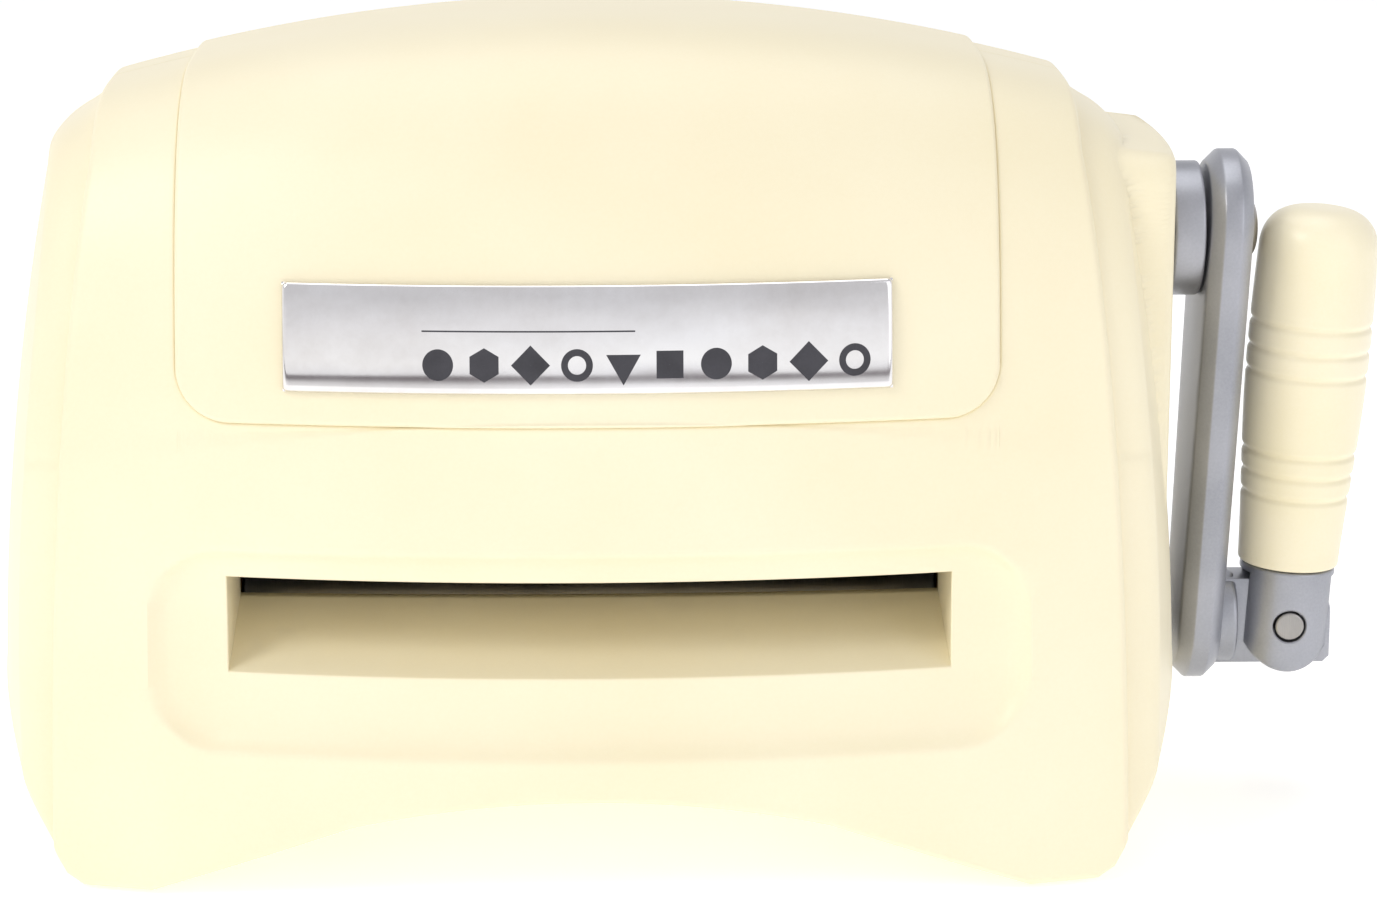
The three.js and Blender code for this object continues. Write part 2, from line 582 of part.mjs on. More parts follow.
// A spur gear outline with involute flanks, one tooth centred on the angle given.
function gearOutline(teeth, module, toothAt, flankPoints) {
  const pitch = (teeth * module) / 2;
  const base = pitch * Math.cos(THREE.MathUtils.degToRad(GEAR.angle));
  const tip = pitch + GEAR.addendum * module;
  const root = pitch - GEAR.dedendum * module;
  const involute = (r) => {
    const alpha = r > base ? Math.acos(base / r) : 0;
    return Math.tan(alpha) - alpha;
  };
  const halfAtPitch = Math.PI / (2 * teeth) - GEAR.play / (4 * pitch);
  const halfAt = (r) => halfAtPitch + involute(pitch) - involute(r);
  const radii = [root];
  for (let i = 0; i < flankPoints; i += 1) {
    const start = Math.max(base, root + 0.4 * module);
    radii.push(start + ((tip - start) * i) / (flankPoints - 1));
  }
  const points = [];
  for (let tooth = 0; tooth < teeth; tooth += 1) {
    const centre = toothAt + (2 * Math.PI * tooth) / teeth;
    const flank = radii.map((r) => [r, halfAt(r)]);
    for (const [r, half] of flank) points.push([r * Math.cos(centre - half), r * Math.sin(centre - half)]);
    for (const [r, half] of flank.reverse()) {
      points.push([r * Math.cos(centre + half), r * Math.sin(centre + half)]);
    }
  }
  return points;
}

function addGear(name, size, z, toothAt, sign, flankPoints, material) {
  const outline = gearOutline(size.teeth, size.module, toothAt, flankPoints);
  const from = sign > 0 ? GEAR.from : -GEAR.from - GEAR.wide;
  const gear = sweptX(outline, from, from + GEAR.wide, [circle(0, 0, GEAR.bore, 20)]);
  place(name, gear.translate(0, 0, z), material);
}

function addGears() {
  const down = -Math.PI / 2;
  const halfTooth = (size) => Math.PI / size.teeth;
  addGear("crank_pinion", PINION, CRANK_Z, down, 1, 3, steel());
  addGear("driven_gear", DRIVEN, UPPER_Z, -down + halfTooth(DRIVEN), 1, 2, gearNylon());
  addGear("upper_roller_gear", PAIR, UPPER_Z, down, -1, 3, steel());
  addGear("lower_roller_gear", PAIR, LOWER_Z, -down + halfTooth(PAIR), -1, 3, steel());
}

// ---------------------------------------------------------------- crank and folding handle

function addCrankShaft() {
  const tip = CRANK.inner + CRANK.thick - 3;
  const profile = [[0, CRANK.from], [SHAFT.radius, CRANK.from], [SHAFT.radius, tip], [0, tip]];
  place("crank_shaft", turned("x", profile, SHAFT.sides).translate(0, 0, CRANK_Z), steel());
  const hub = tubeProfile(SHAFT.radius + 0.2, CRANK.hubRadius, CRANK.hubFrom, CRANK.hubEnd);
  place("crank_hub", turned("x", hub, 28).translate(0, 0, CRANK_Z), castMetal());
}

// The arm seen along the shaft: a large round end, a small round end and straight sides between them.
function armOutline(shrink) {
  const points = [];
  const big = CRANK.boss - shrink;
  const small = CRANK.tip - shrink;
  const tilt = Math.asin((CRANK.boss - CRANK.tip) / CRANK.reach);
  for (let i = 0; i <= 12; i += 1) {
    const angle = -tilt + ((Math.PI + 2 * tilt) * i) / 12;
    points.push([big * Math.cos(angle), big * Math.sin(angle)]);
  }
  for (let i = 0; i <= 8; i += 1) {
    const angle = Math.PI + tilt + ((Math.PI - 2 * tilt) * i) / 8;
    points.push([small * Math.cos(angle), -CRANK.reach + small * Math.sin(angle)]);
  }
  return points;
}

function armBlade() {
  const shape = outlineOf(armOutline(CRANK.bevel));
  const blade = new THREE.ExtrudeGeometry(shape, {
    depth: CRANK.thick - 2 * CRANK.bevel,
    steps: 1,
    bevelThickness: CRANK.bevel,
    bevelSize: CRANK.bevel,
    bevelSegments: 1,
  });
  blade.translate(0, 0, CRANK.bevel).applyMatrix4(ALONG_X);
  const lean = Math.tan(THREE.MathUtils.degToRad(CRANK.lean));
  return solidOf(warped(blade, (x, y, z) => [x + CRANK.inner + lean * z, y, z + CRANK_Z]));
}

// The tongue that the fork straddles: square below, and rounded above so that the fork can swing out.
function tongueBlock() {
  const { x, end, height } = KNUCKLE;
  const points = [[KNUCKLE.from, -height], [end - 1.5, -height], [end, -height + 1.5], [end, 2]];
  for (let i = 1; i <= 4; i += 1) {
    const angle = (Math.PI / 2) * (i / 4);
    points.push([x + (end - x) * Math.cos(angle), 2 + (height - 2) * Math.sin(angle)]);
  }
  points.push([KNUCKLE.from, height]);
  return solidOf(sweptY(points, -KNUCKLE.half, KNUCKLE.half).translate(0, 0, PIN_Z));
}

function addCrankArm() {
  const boss = turned("x", rodProfile(KNUCKLE.boss, KNUCKLE.from - 2, KNUCKLE.bossEnd), 24);
  const bore = turned("x", rodProfile(SHAFT.radius + 0.2, 100, CRANK.inner + CRANK.thick - 2.8), 24);
  const screwHole = turned("x", rodProfile(SCREW.shank + 0.3, 140, 170), 12);
  const crossHole = turned("y", rodProfile(KNUCKLE.hole, -20, 20), 20).translate(KNUCKLE.x, 0, PIN_Z);
  const arm = armBlade()
    .add(solidOf(boss.translate(0, 0, PIN_Z)))
    .add(tongueBlock())
    .subtract(solidOf(bore.translate(0, 0, CRANK_Z)))
    .subtract(solidOf(screwHole.translate(0, 0, CRANK_Z)))
    .subtract(solidOf(crossHole));
  place("crank_arm", arm, castMetal());
}

function addArmScrew() {
  const face = CRANK.inner + CRANK.thick + 0.5;
  const inner = CRANK.inner + CRANK.thick - 2.9;
  const profile = [[0, inner], [SCREW.shank, inner], [SCREW.shank, face], [CRANK.screw, face],
    [CRANK.screw, face + 1.2], [CRANK.screw - 2, face + 2.6], [0, face + 2.6]];
  place("arm_screw", turned("x", profile, 24).translate(0, 0, CRANK_Z), steel());
}

// Handle pieces are drawn standing on the cross pin and then leant outwards about it.
const handle = new THREE.Group();
handle.position.set(KNUCKLE.x, 0, PIN_Z);
handle.rotation.y = THREE.MathUtils.degToRad(FORK.lean);
model.add(handle);

function addFork() {
  const body = solidOf(turned("z", rodProfile(FORK.radius, 0, FORK.top), 28));
  const ears = solidOf(sweptY(circle(0, 0, FORK.radius, 28), -FORK.radius, FORK.radius));
  const column = solidOf(turned("z", rodProfile(FORK.radius, -20, 20), 28));
  const slot = solidOf(box(-20, 20, -FORK.slot, FORK.slot, -20, FORK.slotTop));
  const hole = solidOf(turned("y", rodProfile(PIN.radius + 0.15, -20, 20), 20));
  const groove = [[RING.seat, RING.at], [FORK.spindle, RING.at], [FORK.spindle, RING.at + RING.thick + 0.3],
    [RING.seat, RING.at + RING.thick + 0.3]];
  const spindleProfile = [[0, FORK.top - 2], [FORK.spindle, FORK.top - 2], [FORK.spindle, groove[0][1]],
    [RING.seat, groove[0][1]], [RING.seat, groove[3][1]], [FORK.spindle, groove[2][1]],
    [FORK.spindle, FORK.spindleTop], [0, FORK.spindleTop]];
  const spindle = solidOf(turned("z", spindleProfile, 20));
  const fork = body.add(ears.intersect(column)).subtract(slot).subtract(hole).add(spindle);
  place("handle_fork", fork, castMetal(), handle);
  place("hinge_pin", turned("y", rodProfile(PIN.radius, -PIN.half, PIN.half), 20), steel(), handle);
}

// The grip swells towards the top and narrows at the foot, with two groups of three grooves.
function gripRadius(t) {
  const foot = 12.1;
  const swell = 14.6;
  return t < 0.62 ? foot + (swell - foot) * Math.sin((Math.PI / 2) * (t / 0.62)) ** 1.4
    : swell - 0.9 * ((t - 0.62) / 0.38) ** 2;
}

function addGrip() {
  const length = GRIP.length;
  const dome = 10;
  const profile = [[GRIP.bore, 0], [gripRadius(0) - 1, 0], [gripRadius(0), 1]];
  for (let i = 1; i <= 8; i += 1) {
    const a = 1 + ((length - dome - 1) * i) / 8;
    profile.push([gripRadius(a / length), a]);
  }
  const rim = gripRadius((length - dome) / length);
  for (let i = 1; i < 5; i += 1) {
    const angle = (Math.PI / 2) * (i / 5);
    profile.push([rim * Math.cos(angle) ** 0.6, length - dome + dome * Math.sin(angle)]);
  }
  profile.push([0, length], [0, GRIP.boreTop - GRIP.from]);
  profile.push([RING.recess, GRIP.boreTop - GRIP.from], [RING.recess, RING.at - GRIP.from - 1.5],
    [GRIP.bore, RING.at - GRIP.from - 1.5], [GRIP.bore, 0]);
  place("grip", turned("z", profile, GRIP.sides).translate(0, 0, GRIP.from), moulding(), handle);
}

function addGripRing() {
  const profile = tubeProfile(RING.seat + 0.15, RING.radius + 0.9, RING.at + 0.15, RING.at + 0.15 + RING.thick);
  place("grip_snap_ring", turned("z", profile, 20), steel(), handle);
}

// ---------------------------------------------------------------- assembly

addEndShells();
addTopCover();
addSideCovers();
addBadge();
addBottomCover();
addChassisScrews();
addRubberFeet();
addBasePlate();
addFramePlates();
addTieBars();
addGearbox();
addBushes();
addRoller("upper_roller", UPPER_Z, SHAFT.right);
addRoller("lower_roller", LOWER_Z, FRAME.inner + FRAME.thick + 1.3);
addGears();
addCrankShaft();
addCrankArm();
addArmScrew();
addFork();
addGrip();
addGripRing();

model.updateMatrixWorld(true);
const extent = new THREE.Box3().setFromObject(model, true);
model.position.x = -(extent.min.x + extent.max.x) / 2;

export default model;
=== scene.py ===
"""The looks of a hand-cranked die cutting machine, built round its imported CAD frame.

The cream case, the badge, the rollers, the crank and the folding handle are fine surfaces worked out
with numpy. The chassis inside keeps its CAD meshes and gets finishes. Sizes here are millimetres about
the case's own centre plane, and `to_frame` turns them into the frame's metres.
"""

import json
import math

import bmesh
import bpy
import numpy as np
from mathutils import Matrix, Vector


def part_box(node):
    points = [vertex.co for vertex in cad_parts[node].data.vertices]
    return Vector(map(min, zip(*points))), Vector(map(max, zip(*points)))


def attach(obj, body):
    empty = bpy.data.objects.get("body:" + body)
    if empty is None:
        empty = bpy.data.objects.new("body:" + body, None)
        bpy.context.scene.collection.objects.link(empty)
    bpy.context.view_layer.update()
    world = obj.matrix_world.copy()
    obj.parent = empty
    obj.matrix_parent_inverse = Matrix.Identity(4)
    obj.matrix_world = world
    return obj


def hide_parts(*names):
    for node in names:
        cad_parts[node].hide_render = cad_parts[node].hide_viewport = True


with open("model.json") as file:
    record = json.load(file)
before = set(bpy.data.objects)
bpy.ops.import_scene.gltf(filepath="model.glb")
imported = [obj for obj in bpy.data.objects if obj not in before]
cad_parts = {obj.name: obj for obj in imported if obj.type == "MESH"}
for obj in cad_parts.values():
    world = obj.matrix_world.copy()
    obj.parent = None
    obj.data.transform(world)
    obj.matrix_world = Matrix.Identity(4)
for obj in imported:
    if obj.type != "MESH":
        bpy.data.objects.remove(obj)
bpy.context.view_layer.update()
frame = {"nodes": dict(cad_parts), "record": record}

# ------------------------------------------------------------------ driving dimensions, millimetres


def box_mm(node):
    """A CAD node's lowest and highest corner in millimetres."""
    low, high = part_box(node)
    return np.array(low) * 1000, np.array(high) * 1000


def centre_mm(node):
    """The middle of a CAD node's box, with X measured from the case's centre plane."""
    low, high = box_mm(node)
    return (low + high) / 2 - np.array([CENTRE_X, 0, 0])


CENTRE_X = float(sum(c[0] for c in box_mm("top_cover"))) / 2
PANEL_RAISE = 1.3
CASE_TOP = float(box_mm("top_cover")[1][2]) - PANEL_RAISE
FOOT_DEPTH = 88.2  # front face to centre plane, at the foot
WAIST_Z, WAIST_DEPTH = 110.0, 76.3  # the straight face ends here and the shoulder starts
DOME_DEPTH, DOME_POWER = 79.4, 3.45  # the shoulder's squared ellipse
CROWN = 418.0
PANEL_HALF = float(box_mm("top_cover")[1][0]) - CENTRE_X
PANEL_LOW, PANEL_CORNER = 109.0, 12.0
SPLIT_FOOT, SPLIT_CURVE, SPLIT_TOP = 123.2, 0.0004, 112.3  # where the side covers start
CHEEK_X, CHEEK_TOP, CHEEK_FACE, TOP_SLOPE, FACE_SLOPE = 114.0, 19.2, 17.0, 0.65, 0.45
SIDE_HALF = CENTRE_X - float(box_mm("left_side_cover")[0][0])
SIDE_CROWN, TUCK_FROM, TUCK = 178.0, 20.0, 0.00075
FLOOR = 1.0
ARCH_APEX, KNEE_X, KNEE_Z, TOE_X = 24.4, 54.0, 17.8, 100.0
CUT_X, CUT_SLOPE = 118.0, 0.6  # the sloping outer end of each foot
MOUTH_HALF, MOUTH_LOW, MOUTH_HIGH = 81.6, 51.5, 73.3
RAMP_TOP, RAMP_Y = 60.0, 38.0
DISH_HALF, DISH_LOW, DISH_HIGH, DISH_CORNER, DISH_DEPTH = 99.2, 34.4, 80.1, 16.0, 3.6
DISH_RIM = 1.9  # the step round the dish, inside which it slopes on gently
BADGE_HALF = float(box_mm("name_plate")[1][0] - box_mm("name_plate")[0][0]) / 2
BADGE_LOW, BADGE_HIGH = float(box_mm("name_plate")[0][2]), float(box_mm("name_plate")[1][2])
BADGE_BACK, BADGE_TOP = 1.6, 3.7  # how far the badge's back and front stand off the case
PAD_FACE, PAD_FLANK = 137.4, 8.0  # how far out the pad's face is, and how steeply its flanks fall
PAD_HALF, PAD_TOP, PAD_LOW, PAD_CORNER, PAD_CROWN = 36.5, 161.5, 40.0, 9.0, 260.0
PAD_EDGE, PAD_BLEND = 2.5, 0.9  # the rounding of the pad's rim, and the fillet at its foot
SPINE_LOW, SPINE_HIGH = 40.0, 125.0  # the upright line that a side cover's loops close in on
CHEEK_BLEND, FOOT_BLEND = 5.0, 4.0
SEAM_STEP, SKIRT_DEPTH, SKIRT_INSET = 0.35, 4.0, 0.9  # the side cover's step at its seam and its hidden rim
SHAFT_HOLE = 8.2
EDGE_R, PANEL_SEAM_R, MOUTH_R = 1.6, 0.7, 0.5  # how the shells round off at their rim, seam and mouth
DISH_SOFT, DISH_SPREAD, RIM_SPREAD = 0.8, 2.3, 1.7
PANEL_SKIRT, PANEL_EDGE_R = 2.0, 1.0
RIM_DEPTH, LIP_DEPTH, FOOT_START, LIP_END = 17.0, 13.0, 6.0, 5.0
FAR_UP = 900.0  # above everything: a rounded box whose top does not count
PANEL_WALL, SHELL_WALL, CHEEK_WALL = 1.4, 2.2, 2.0
INSIDE = (0, 0, 80)  # a point that the case's walls face away from
CRANK_Z = float(centre_mm("crank_hub")[2])
HUB_IN, HUB_OUT = [float(c[0]) - CENTRE_X for c in box_mm("crank_hub")]
HUB_R = float(box_mm("crank_hub")[1][2]) - CRANK_Z
ARM_IN, ARM_THICK, ARM_BIG, ARM_SMALL, ARM_BEVEL = 146.1, 10.0, 18.8, 15.0, 2.9
ARM_LEAN = math.tan(math.radians(2.2))
PIN_X, PIN_Z = float(centre_mm("hinge_pin")[0]), float(centre_mm("hinge_pin")[2])
ARM_REACH = CRANK_Z - PIN_Z
TONGUE_HALF, TONGUE_HIGH, TONGUE_END = 5.4, 10.6, 179.8
FORK_R, FORK_SLOT, FORK_TOP, FORK_LEAN = 11.4, 5.7, 13.3, math.radians(3.4)
SLOT_TOP = 11.6
PIN_R = 3.5
GRIP_FROM, GRIP_LENGTH, GRIP_BORE = 13.6, 87.5, 4.4
GROOVES, GROOVE_DEPTH, GROOVE_WIDTH = (17.6, 23.0, 28.2, 47.6, 53.5, 59.6), 0.6, 0.75
GRIP_SHAPE, GRIP_DOME = (12.04, 2.5, 0.9), 10.0  # its radius at the fork, its swelling, and its fall at the tip
GRIP_WIDEST = 0.62
SPINDLE_R, SPINDLE_END, RING_BORE, RING_FROM, RING_ROOM = 4.0, 88.0, 5.6, 68.9, 91.0
BOSS_R, BOSS_IN, BOSS_OUT, TONGUE_FROM = 11.4, 149.0, 156.6, 151.0
ROLLER_R, ROLLER_HALF, SHAFT_R = 14.5, 83.0, 6.0
SCREW_R, SCREW_CORE, SOCKET_R, SOCKET_DEPTH, HEAD_HIGH = 7.0, 1.9, 2.6, 1.6, 2.6
BADGE_CROWN, BADGE_CORNER, BADGE_RIM = 0.5, 1.2, 0.9
INK_RISE, INK_SINK = 0.06, 0.12  # how far the ink's face and its hidden back are from the chrome
CAMERA = {"at": (0.0, -913.8, 311.3), "down": 13.9, "focal": 3900.0, "centre": 588.2, "roll": -0.385}
FRAME_WIDTH, SENSOR = 1377, 36.0

# ------------------------------------------------------------------ meshes from arrays


def to_frame(points):
    """Centre-plane millimetres to frame metres."""
    moved = np.array(points, float)
    moved[..., 0] += CENTRE_X
    return moved * 0.001


def part(points, closed=False, keep=None, caps=(False, False)):
    """One grid of a piece. Keep is a mask of its quads, and caps close its first and last rows."""
    return points, closed, keep, caps


def grid_faces(points, closed, keep, caps):
    """Quads between neighbouring rows and columns, and a fan to a middle point for each cap."""
    rows, cols = points.shape[:2]
    across = cols if closed else cols - 1
    r, c = np.meshgrid(np.arange(rows - 1), np.arange(across), indexing="ij")
    n = (c + 1) % cols
    quads = np.stack([r * cols + c, r * cols + n, (r + 1) * cols + n, (r + 1) * cols + c], -1)
    faces = [quads[keep] if keep is not None else quads.reshape(-1, 4)]
    verts = [points.reshape(-1, 3)]
    count = rows * cols
    for wanted, row in zip(caps, (0, rows - 1)):
        if wanted:
            edge = row * cols + np.arange(cols)
            middle = np.full(cols, count)
            faces.append(np.stack([edge, np.roll(edge, -1), middle, middle], -1))
            verts.append(points[row].mean(0)[None])
            count += 1
    return np.concatenate(verts), np.concatenate(faces)


def piece(name, parts, body, nodes=(), wall=0.0, sharp=35.0, outward=None):
    """A mesh object from grids whose neighbours weld. A wall is a Solidify that grows inwards."""
    verts, faces, start = [], [], 0
    for grid in parts:
        v, f = grid_faces(*grid)
        verts.append(v)
        faces.append(f + start)
        start += len(v)
    coords, order = to_frame(np.concatenate(verts)), np.concatenate(faces)
    mesh = bpy.data.meshes.new(name)
    mesh.from_pydata(coords.tolist(), [], [list(dict.fromkeys(f)) for f in order.tolist()])
    obj = bpy.data.objects.new(name, mesh)
    bpy.context.scene.collection.objects.link(obj)
    work = bmesh.new()
    work.from_mesh(mesh)
    bmesh.ops.remove_doubles(work, verts=work.verts, dist=6e-6)
    bmesh.ops.dissolve_degenerate(work, edges=work.edges, dist=1e-6)
    bmesh.ops.recalc_face_normals(work, faces=work.faces)
    if outward is not None:
        centre = Vector(to_frame(outward))
        if sum(f.calc_area() * f.normal.dot(f.calc_center_median() - centre) for f in work.faces) < 0:
            bmesh.ops.reverse_faces(work, faces=work.faces)
    work.to_mesh(mesh)
    work.free()
    mesh.shade_smooth()
    mesh.set_sharp_from_angle(angle=math.radians(sharp))
    if wall:
        solid = obj.modifiers.new("wall", "SOLIDIFY")
        solid.thickness = wall * 0.001
        solid.offset = -1
    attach(obj, body)
    if nodes:
        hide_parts(*nodes)
    return obj


def joined(*runs):
    """One rising list of values from several runs."""
    return np.unique(np.round(np.concatenate([np.atleast_1d(r) for r in runs]), 4))


def smooth_min(a, b, r):
    """The lower of two surfaces, with the edge between them blended over about r."""
    h = np.clip(0.5 + 0.5 * (b - a) / r, 0, 1)
    return b + (a - b) * h - r * h * (1 - h) / 2


def rounded_box(u, v, u0, u1, v0, v1, r):
    """Distance to a rounded rectangle, negative inside."""
    du = np.abs(u - (u0 + u1) / 2) - (u1 - u0) / 2 + r
    dv = np.abs(v - (v0 + v1) / 2) - (v1 - v0) / 2 + r
    return np.hypot(np.maximum(du, 0), np.maximum(dv, 0)) + np.minimum(np.maximum(du, dv), 0) - r


def roll_off(d, r):
    """How far a surface has dropped at distance d from an edge that is rounded to radius r."""
    t = np.clip(r - d, 0, r)
    return r - np.sqrt(np.maximum(r * r - t * t, 0))


def turned(profile, axis, centre, steps=72):
    """A profile of (radius, along) turned about an axis through a centre, as a grid closed on itself."""
    profile = np.array(profile, float)
    turn = np.linspace(0, 2 * np.pi, steps, endpoint=False)
    a, b = profile[:, :1] * np.cos(turn), profile[:, :1] * np.sin(turn)
    along = np.repeat(profile[:, 1:], steps, 1)
    order = {"x": (along, a, b), "y": (a, along, b), "z": (a, b, along)}[axis]
    return np.stack(order, -1) + np.array(centre, float)


def rounded(profile, radii, steps=6):
    """A profile whose corners are rounded: each corner becomes a quadratic curve between its two sides."""
    points = np.array(profile, float)
    out = [points[0]]
    for before, here, after, r in zip(points[:-2], points[1:-1], points[2:], radii):
        near, far = before - here, after - here
        cut = min(r, np.hypot(*near) / 2, np.hypot(*far) / 2)
        start, end = here + near / np.hypot(*near) * cut, here + far / np.hypot(*far) * cut
        t = np.linspace(0, 1, steps)[:, None]
        out.extend((1 - t) ** 2 * start + 2 * t * (1 - t) * here + t ** 2 * end)
    out.append(points[-1])
    return np.array(out)


# ------------------------------------------------------------------ the case's base surface


def profile_table():
    """The half side profile as arrays of arc length, depth and height.

    A straight leaning face up to the waist, then a squared ellipse y^n + z^n = 1 over the shoulder. The
    steps shorten towards the top, where the depth falls to nothing.
    """
    start = math.asin((WAIST_Z / CASE_TOP) ** (DOME_POWER / 2))
    to_go = (math.pi / 2 - start) * np.linspace(1, 0, 6000) ** 1.725
    depth = DOME_DEPTH * np.sin(to_go) ** (2 / DOME_POWER)
    height = CASE_TOP * np.cos(to_go) ** (2 / DOME_POWER)
    low = np.linspace(-2, WAIST_Z, 300)[:-1]
    depth = np.concatenate([WAIST_DEPTH + (FOOT_DEPTH - WAIST_DEPTH) * (1 - low / WAIST_Z), depth])
    height = np.concatenate([low, height])
    length = np.concatenate([[0], np.cumsum(np.hypot(np.diff(depth), np.diff(height)))])
    even = np.linspace(0, length[-1], 2500)
    return even, np.interp(even, length, depth), np.interp(even, length, height)


LENGTH, DEPTH, HEIGHT = profile_table()
END = LENGTH[-1]


def profile_tangent():
    """The direction of the profile along its length, with the waist's slight bend smoothed over 6 mm."""
    window = np.ones(61) / 61
    slopes = []
    for line, mirror in ((DEPTH, -1), (HEIGHT, 1)):
        slope = np.gradient(line, LENGTH)
        padded = np.concatenate([np.full(30, slope[0]), slope, mirror * -slope[-2:-32:-1]])
        slopes.append(np.convolve(padded, window, "valid"))
    size = np.hypot(*slopes)
    return slopes[0] / size, slopes[1] / size


TANGENT_Y, TANGENT_Z = profile_tangent()


def drop(x):
    """How far the crown has fallen x away from the centre plane: x squared over twice its radius."""
    return x * x / (2 * CROWN)


def length_at(x, z):
    """Arc length of the crowned profile at one sideways place where it reaches height z."""
    return np.interp(z / (1 - drop(x) / CASE_TOP), HEIGHT, LENGTH)


def skin(x, s, h):
    """A point of the front half of the crowned case at arc length s, raised by h along its normal."""
    depth, height = np.interp(s, LENGTH, DEPTH), np.interp(s, LENGTH, HEIGHT)
    ty, tz = np.interp(s, LENGTH, TANGENT_Y), np.interp(s, LENGTH, TANGENT_Z)
    y = -depth * (1 - drop(x) / FOOT_DEPTH) - h * tz
    z = height * (1 - drop(x) / CASE_TOP) - h * ty
    return np.stack(np.broadcast_arrays(x + 0 * s, y, z), -1)


def face_y(x, z):
    """Depth of the front face at a true height."""
    return -np.interp(length_at(x, z), LENGTH, DEPTH) * (1 - drop(x) / FOOT_DEPTH)


def split_x(z):
    """Where a side cover starts at height z: a parabola that leans in, but no further than its top."""
    return np.maximum(SPLIT_TOP, SPLIT_FOOT - SPLIT_CURVE * z * z)


def underside_z(x):
    """Height of the case's lower edge: the arch, its ramps, the flat foot and the foot's sloping end."""
    a = np.abs(x)
    radius = (KNEE_X ** 2 + (ARCH_APEX - KNEE_Z) ** 2) / (2 * (ARCH_APEX - KNEE_Z))
    arc = ARCH_APEX - radius + np.sqrt(np.maximum(radius ** 2 - np.minimum(a, KNEE_X) ** 2, 0))
    ramp = FLOOR + (KNEE_Z - FLOOR) * (TOE_X - a) / (TOE_X - KNEE_X)
    inner = np.where(a < KNEE_X, arc, np.maximum(ramp, FLOOR))
    return np.maximum(inner, (a - CUT_X) / CUT_SLOPE)


def panel_edge(x):
    """Height of the panel's lower edge, which curls up into its side edges at the corners."""
    past = np.clip(np.abs(x) - PANEL_HALF + PANEL_CORNER, 0, PANEL_CORNER)
    return PANEL_LOW + PANEL_CORNER - np.sqrt(PANEL_CORNER ** 2 - past ** 2)


def mirror_y(points):
    """The same points behind the centre plane instead of in front of it."""
    return points * np.array([1, -1, 1])


CORNER_COLUMNS = PANEL_HALF - PANEL_CORNER * (1 - np.sin(np.linspace(0, np.pi / 2, 24)))
EDGE_STEPS = np.array([0, 0.06, 0.15, 0.27, 0.42, 0.6, 0.82, 1.1, 1.5, 2.2, 3.2])

# ------------------------------------------------------------------ the case


def top_cover():
    """The raised panel: columns run from its front lower edge over the top to its rear lower edge.

    Its height over the case falls along a quarter circle within 1 mm of a rounded outline.
    """
    half = joined(np.linspace(0, PANEL_HALF - PANEL_CORNER, 38), PANEL_HALF - EDGE_STEPS, CORNER_COLUMNS)
    x = np.concatenate([-half[::-1], half[1:]])
    low = length_at(x, panel_edge(x))
    fine = EDGE_STEPS[-1] / (END - low.min())
    run = np.concatenate([EDGE_STEPS / (END - low.min()), np.linspace(fine, 1, 96)[1:]])[:, None]
    s = low[None] + (END - low)[None] * run
    base = length_at(x, PANEL_LOW + 0 * x)[None]
    inside = -rounded_box(x[None], s, -PANEL_HALF, PANEL_HALF, base, base + FAR_UP, PANEL_CORNER)
    h = PANEL_RAISE - roll_off(np.maximum(inside, 0), PANEL_EDGE_R)
    front = np.concatenate([skin(x[None], s[:1], h[:1] - PANEL_SKIRT), skin(x[None], s, h)])
    left = skin(x[:1][None], s[:, :1], h[:, :1] - PANEL_SKIRT)
    right = skin(x[-1:][None], s[:, -1:], h[:, -1:] - PANEL_SKIRT)
    front = np.concatenate([np.concatenate([left[:1], left]), front, np.concatenate([right[:1], right])], 1)
    whole = np.concatenate([front, mirror_y(front)[::-1][1:]])
    return piece("panel_skin", [part(whole)], "case", ["top_cover"], PANEL_WALL, 50, INSIDE)


def dish_drop(x, z):
    """How deep the dish is: it grows steadily inwards from a softly rounded outline."""
    inside = -rounded_box(x, z, -DISH_HALF, DISH_HALF, DISH_LOW, DISH_HIGH, DISH_CORNER)
    eased = (np.clip(inside, -DISH_SOFT, DISH_SOFT) + DISH_SOFT) ** 2 / (4 * DISH_SOFT)
    grown = np.where(inside > DISH_SOFT, inside, eased)
    slope = 1 - np.exp(-grown * DISH_SPREAD / (DISH_HALF - MOUTH_HALF))
    return DISH_DEPTH * slope + DISH_RIM * (1 - np.exp(-grown / RIM_SPREAD))


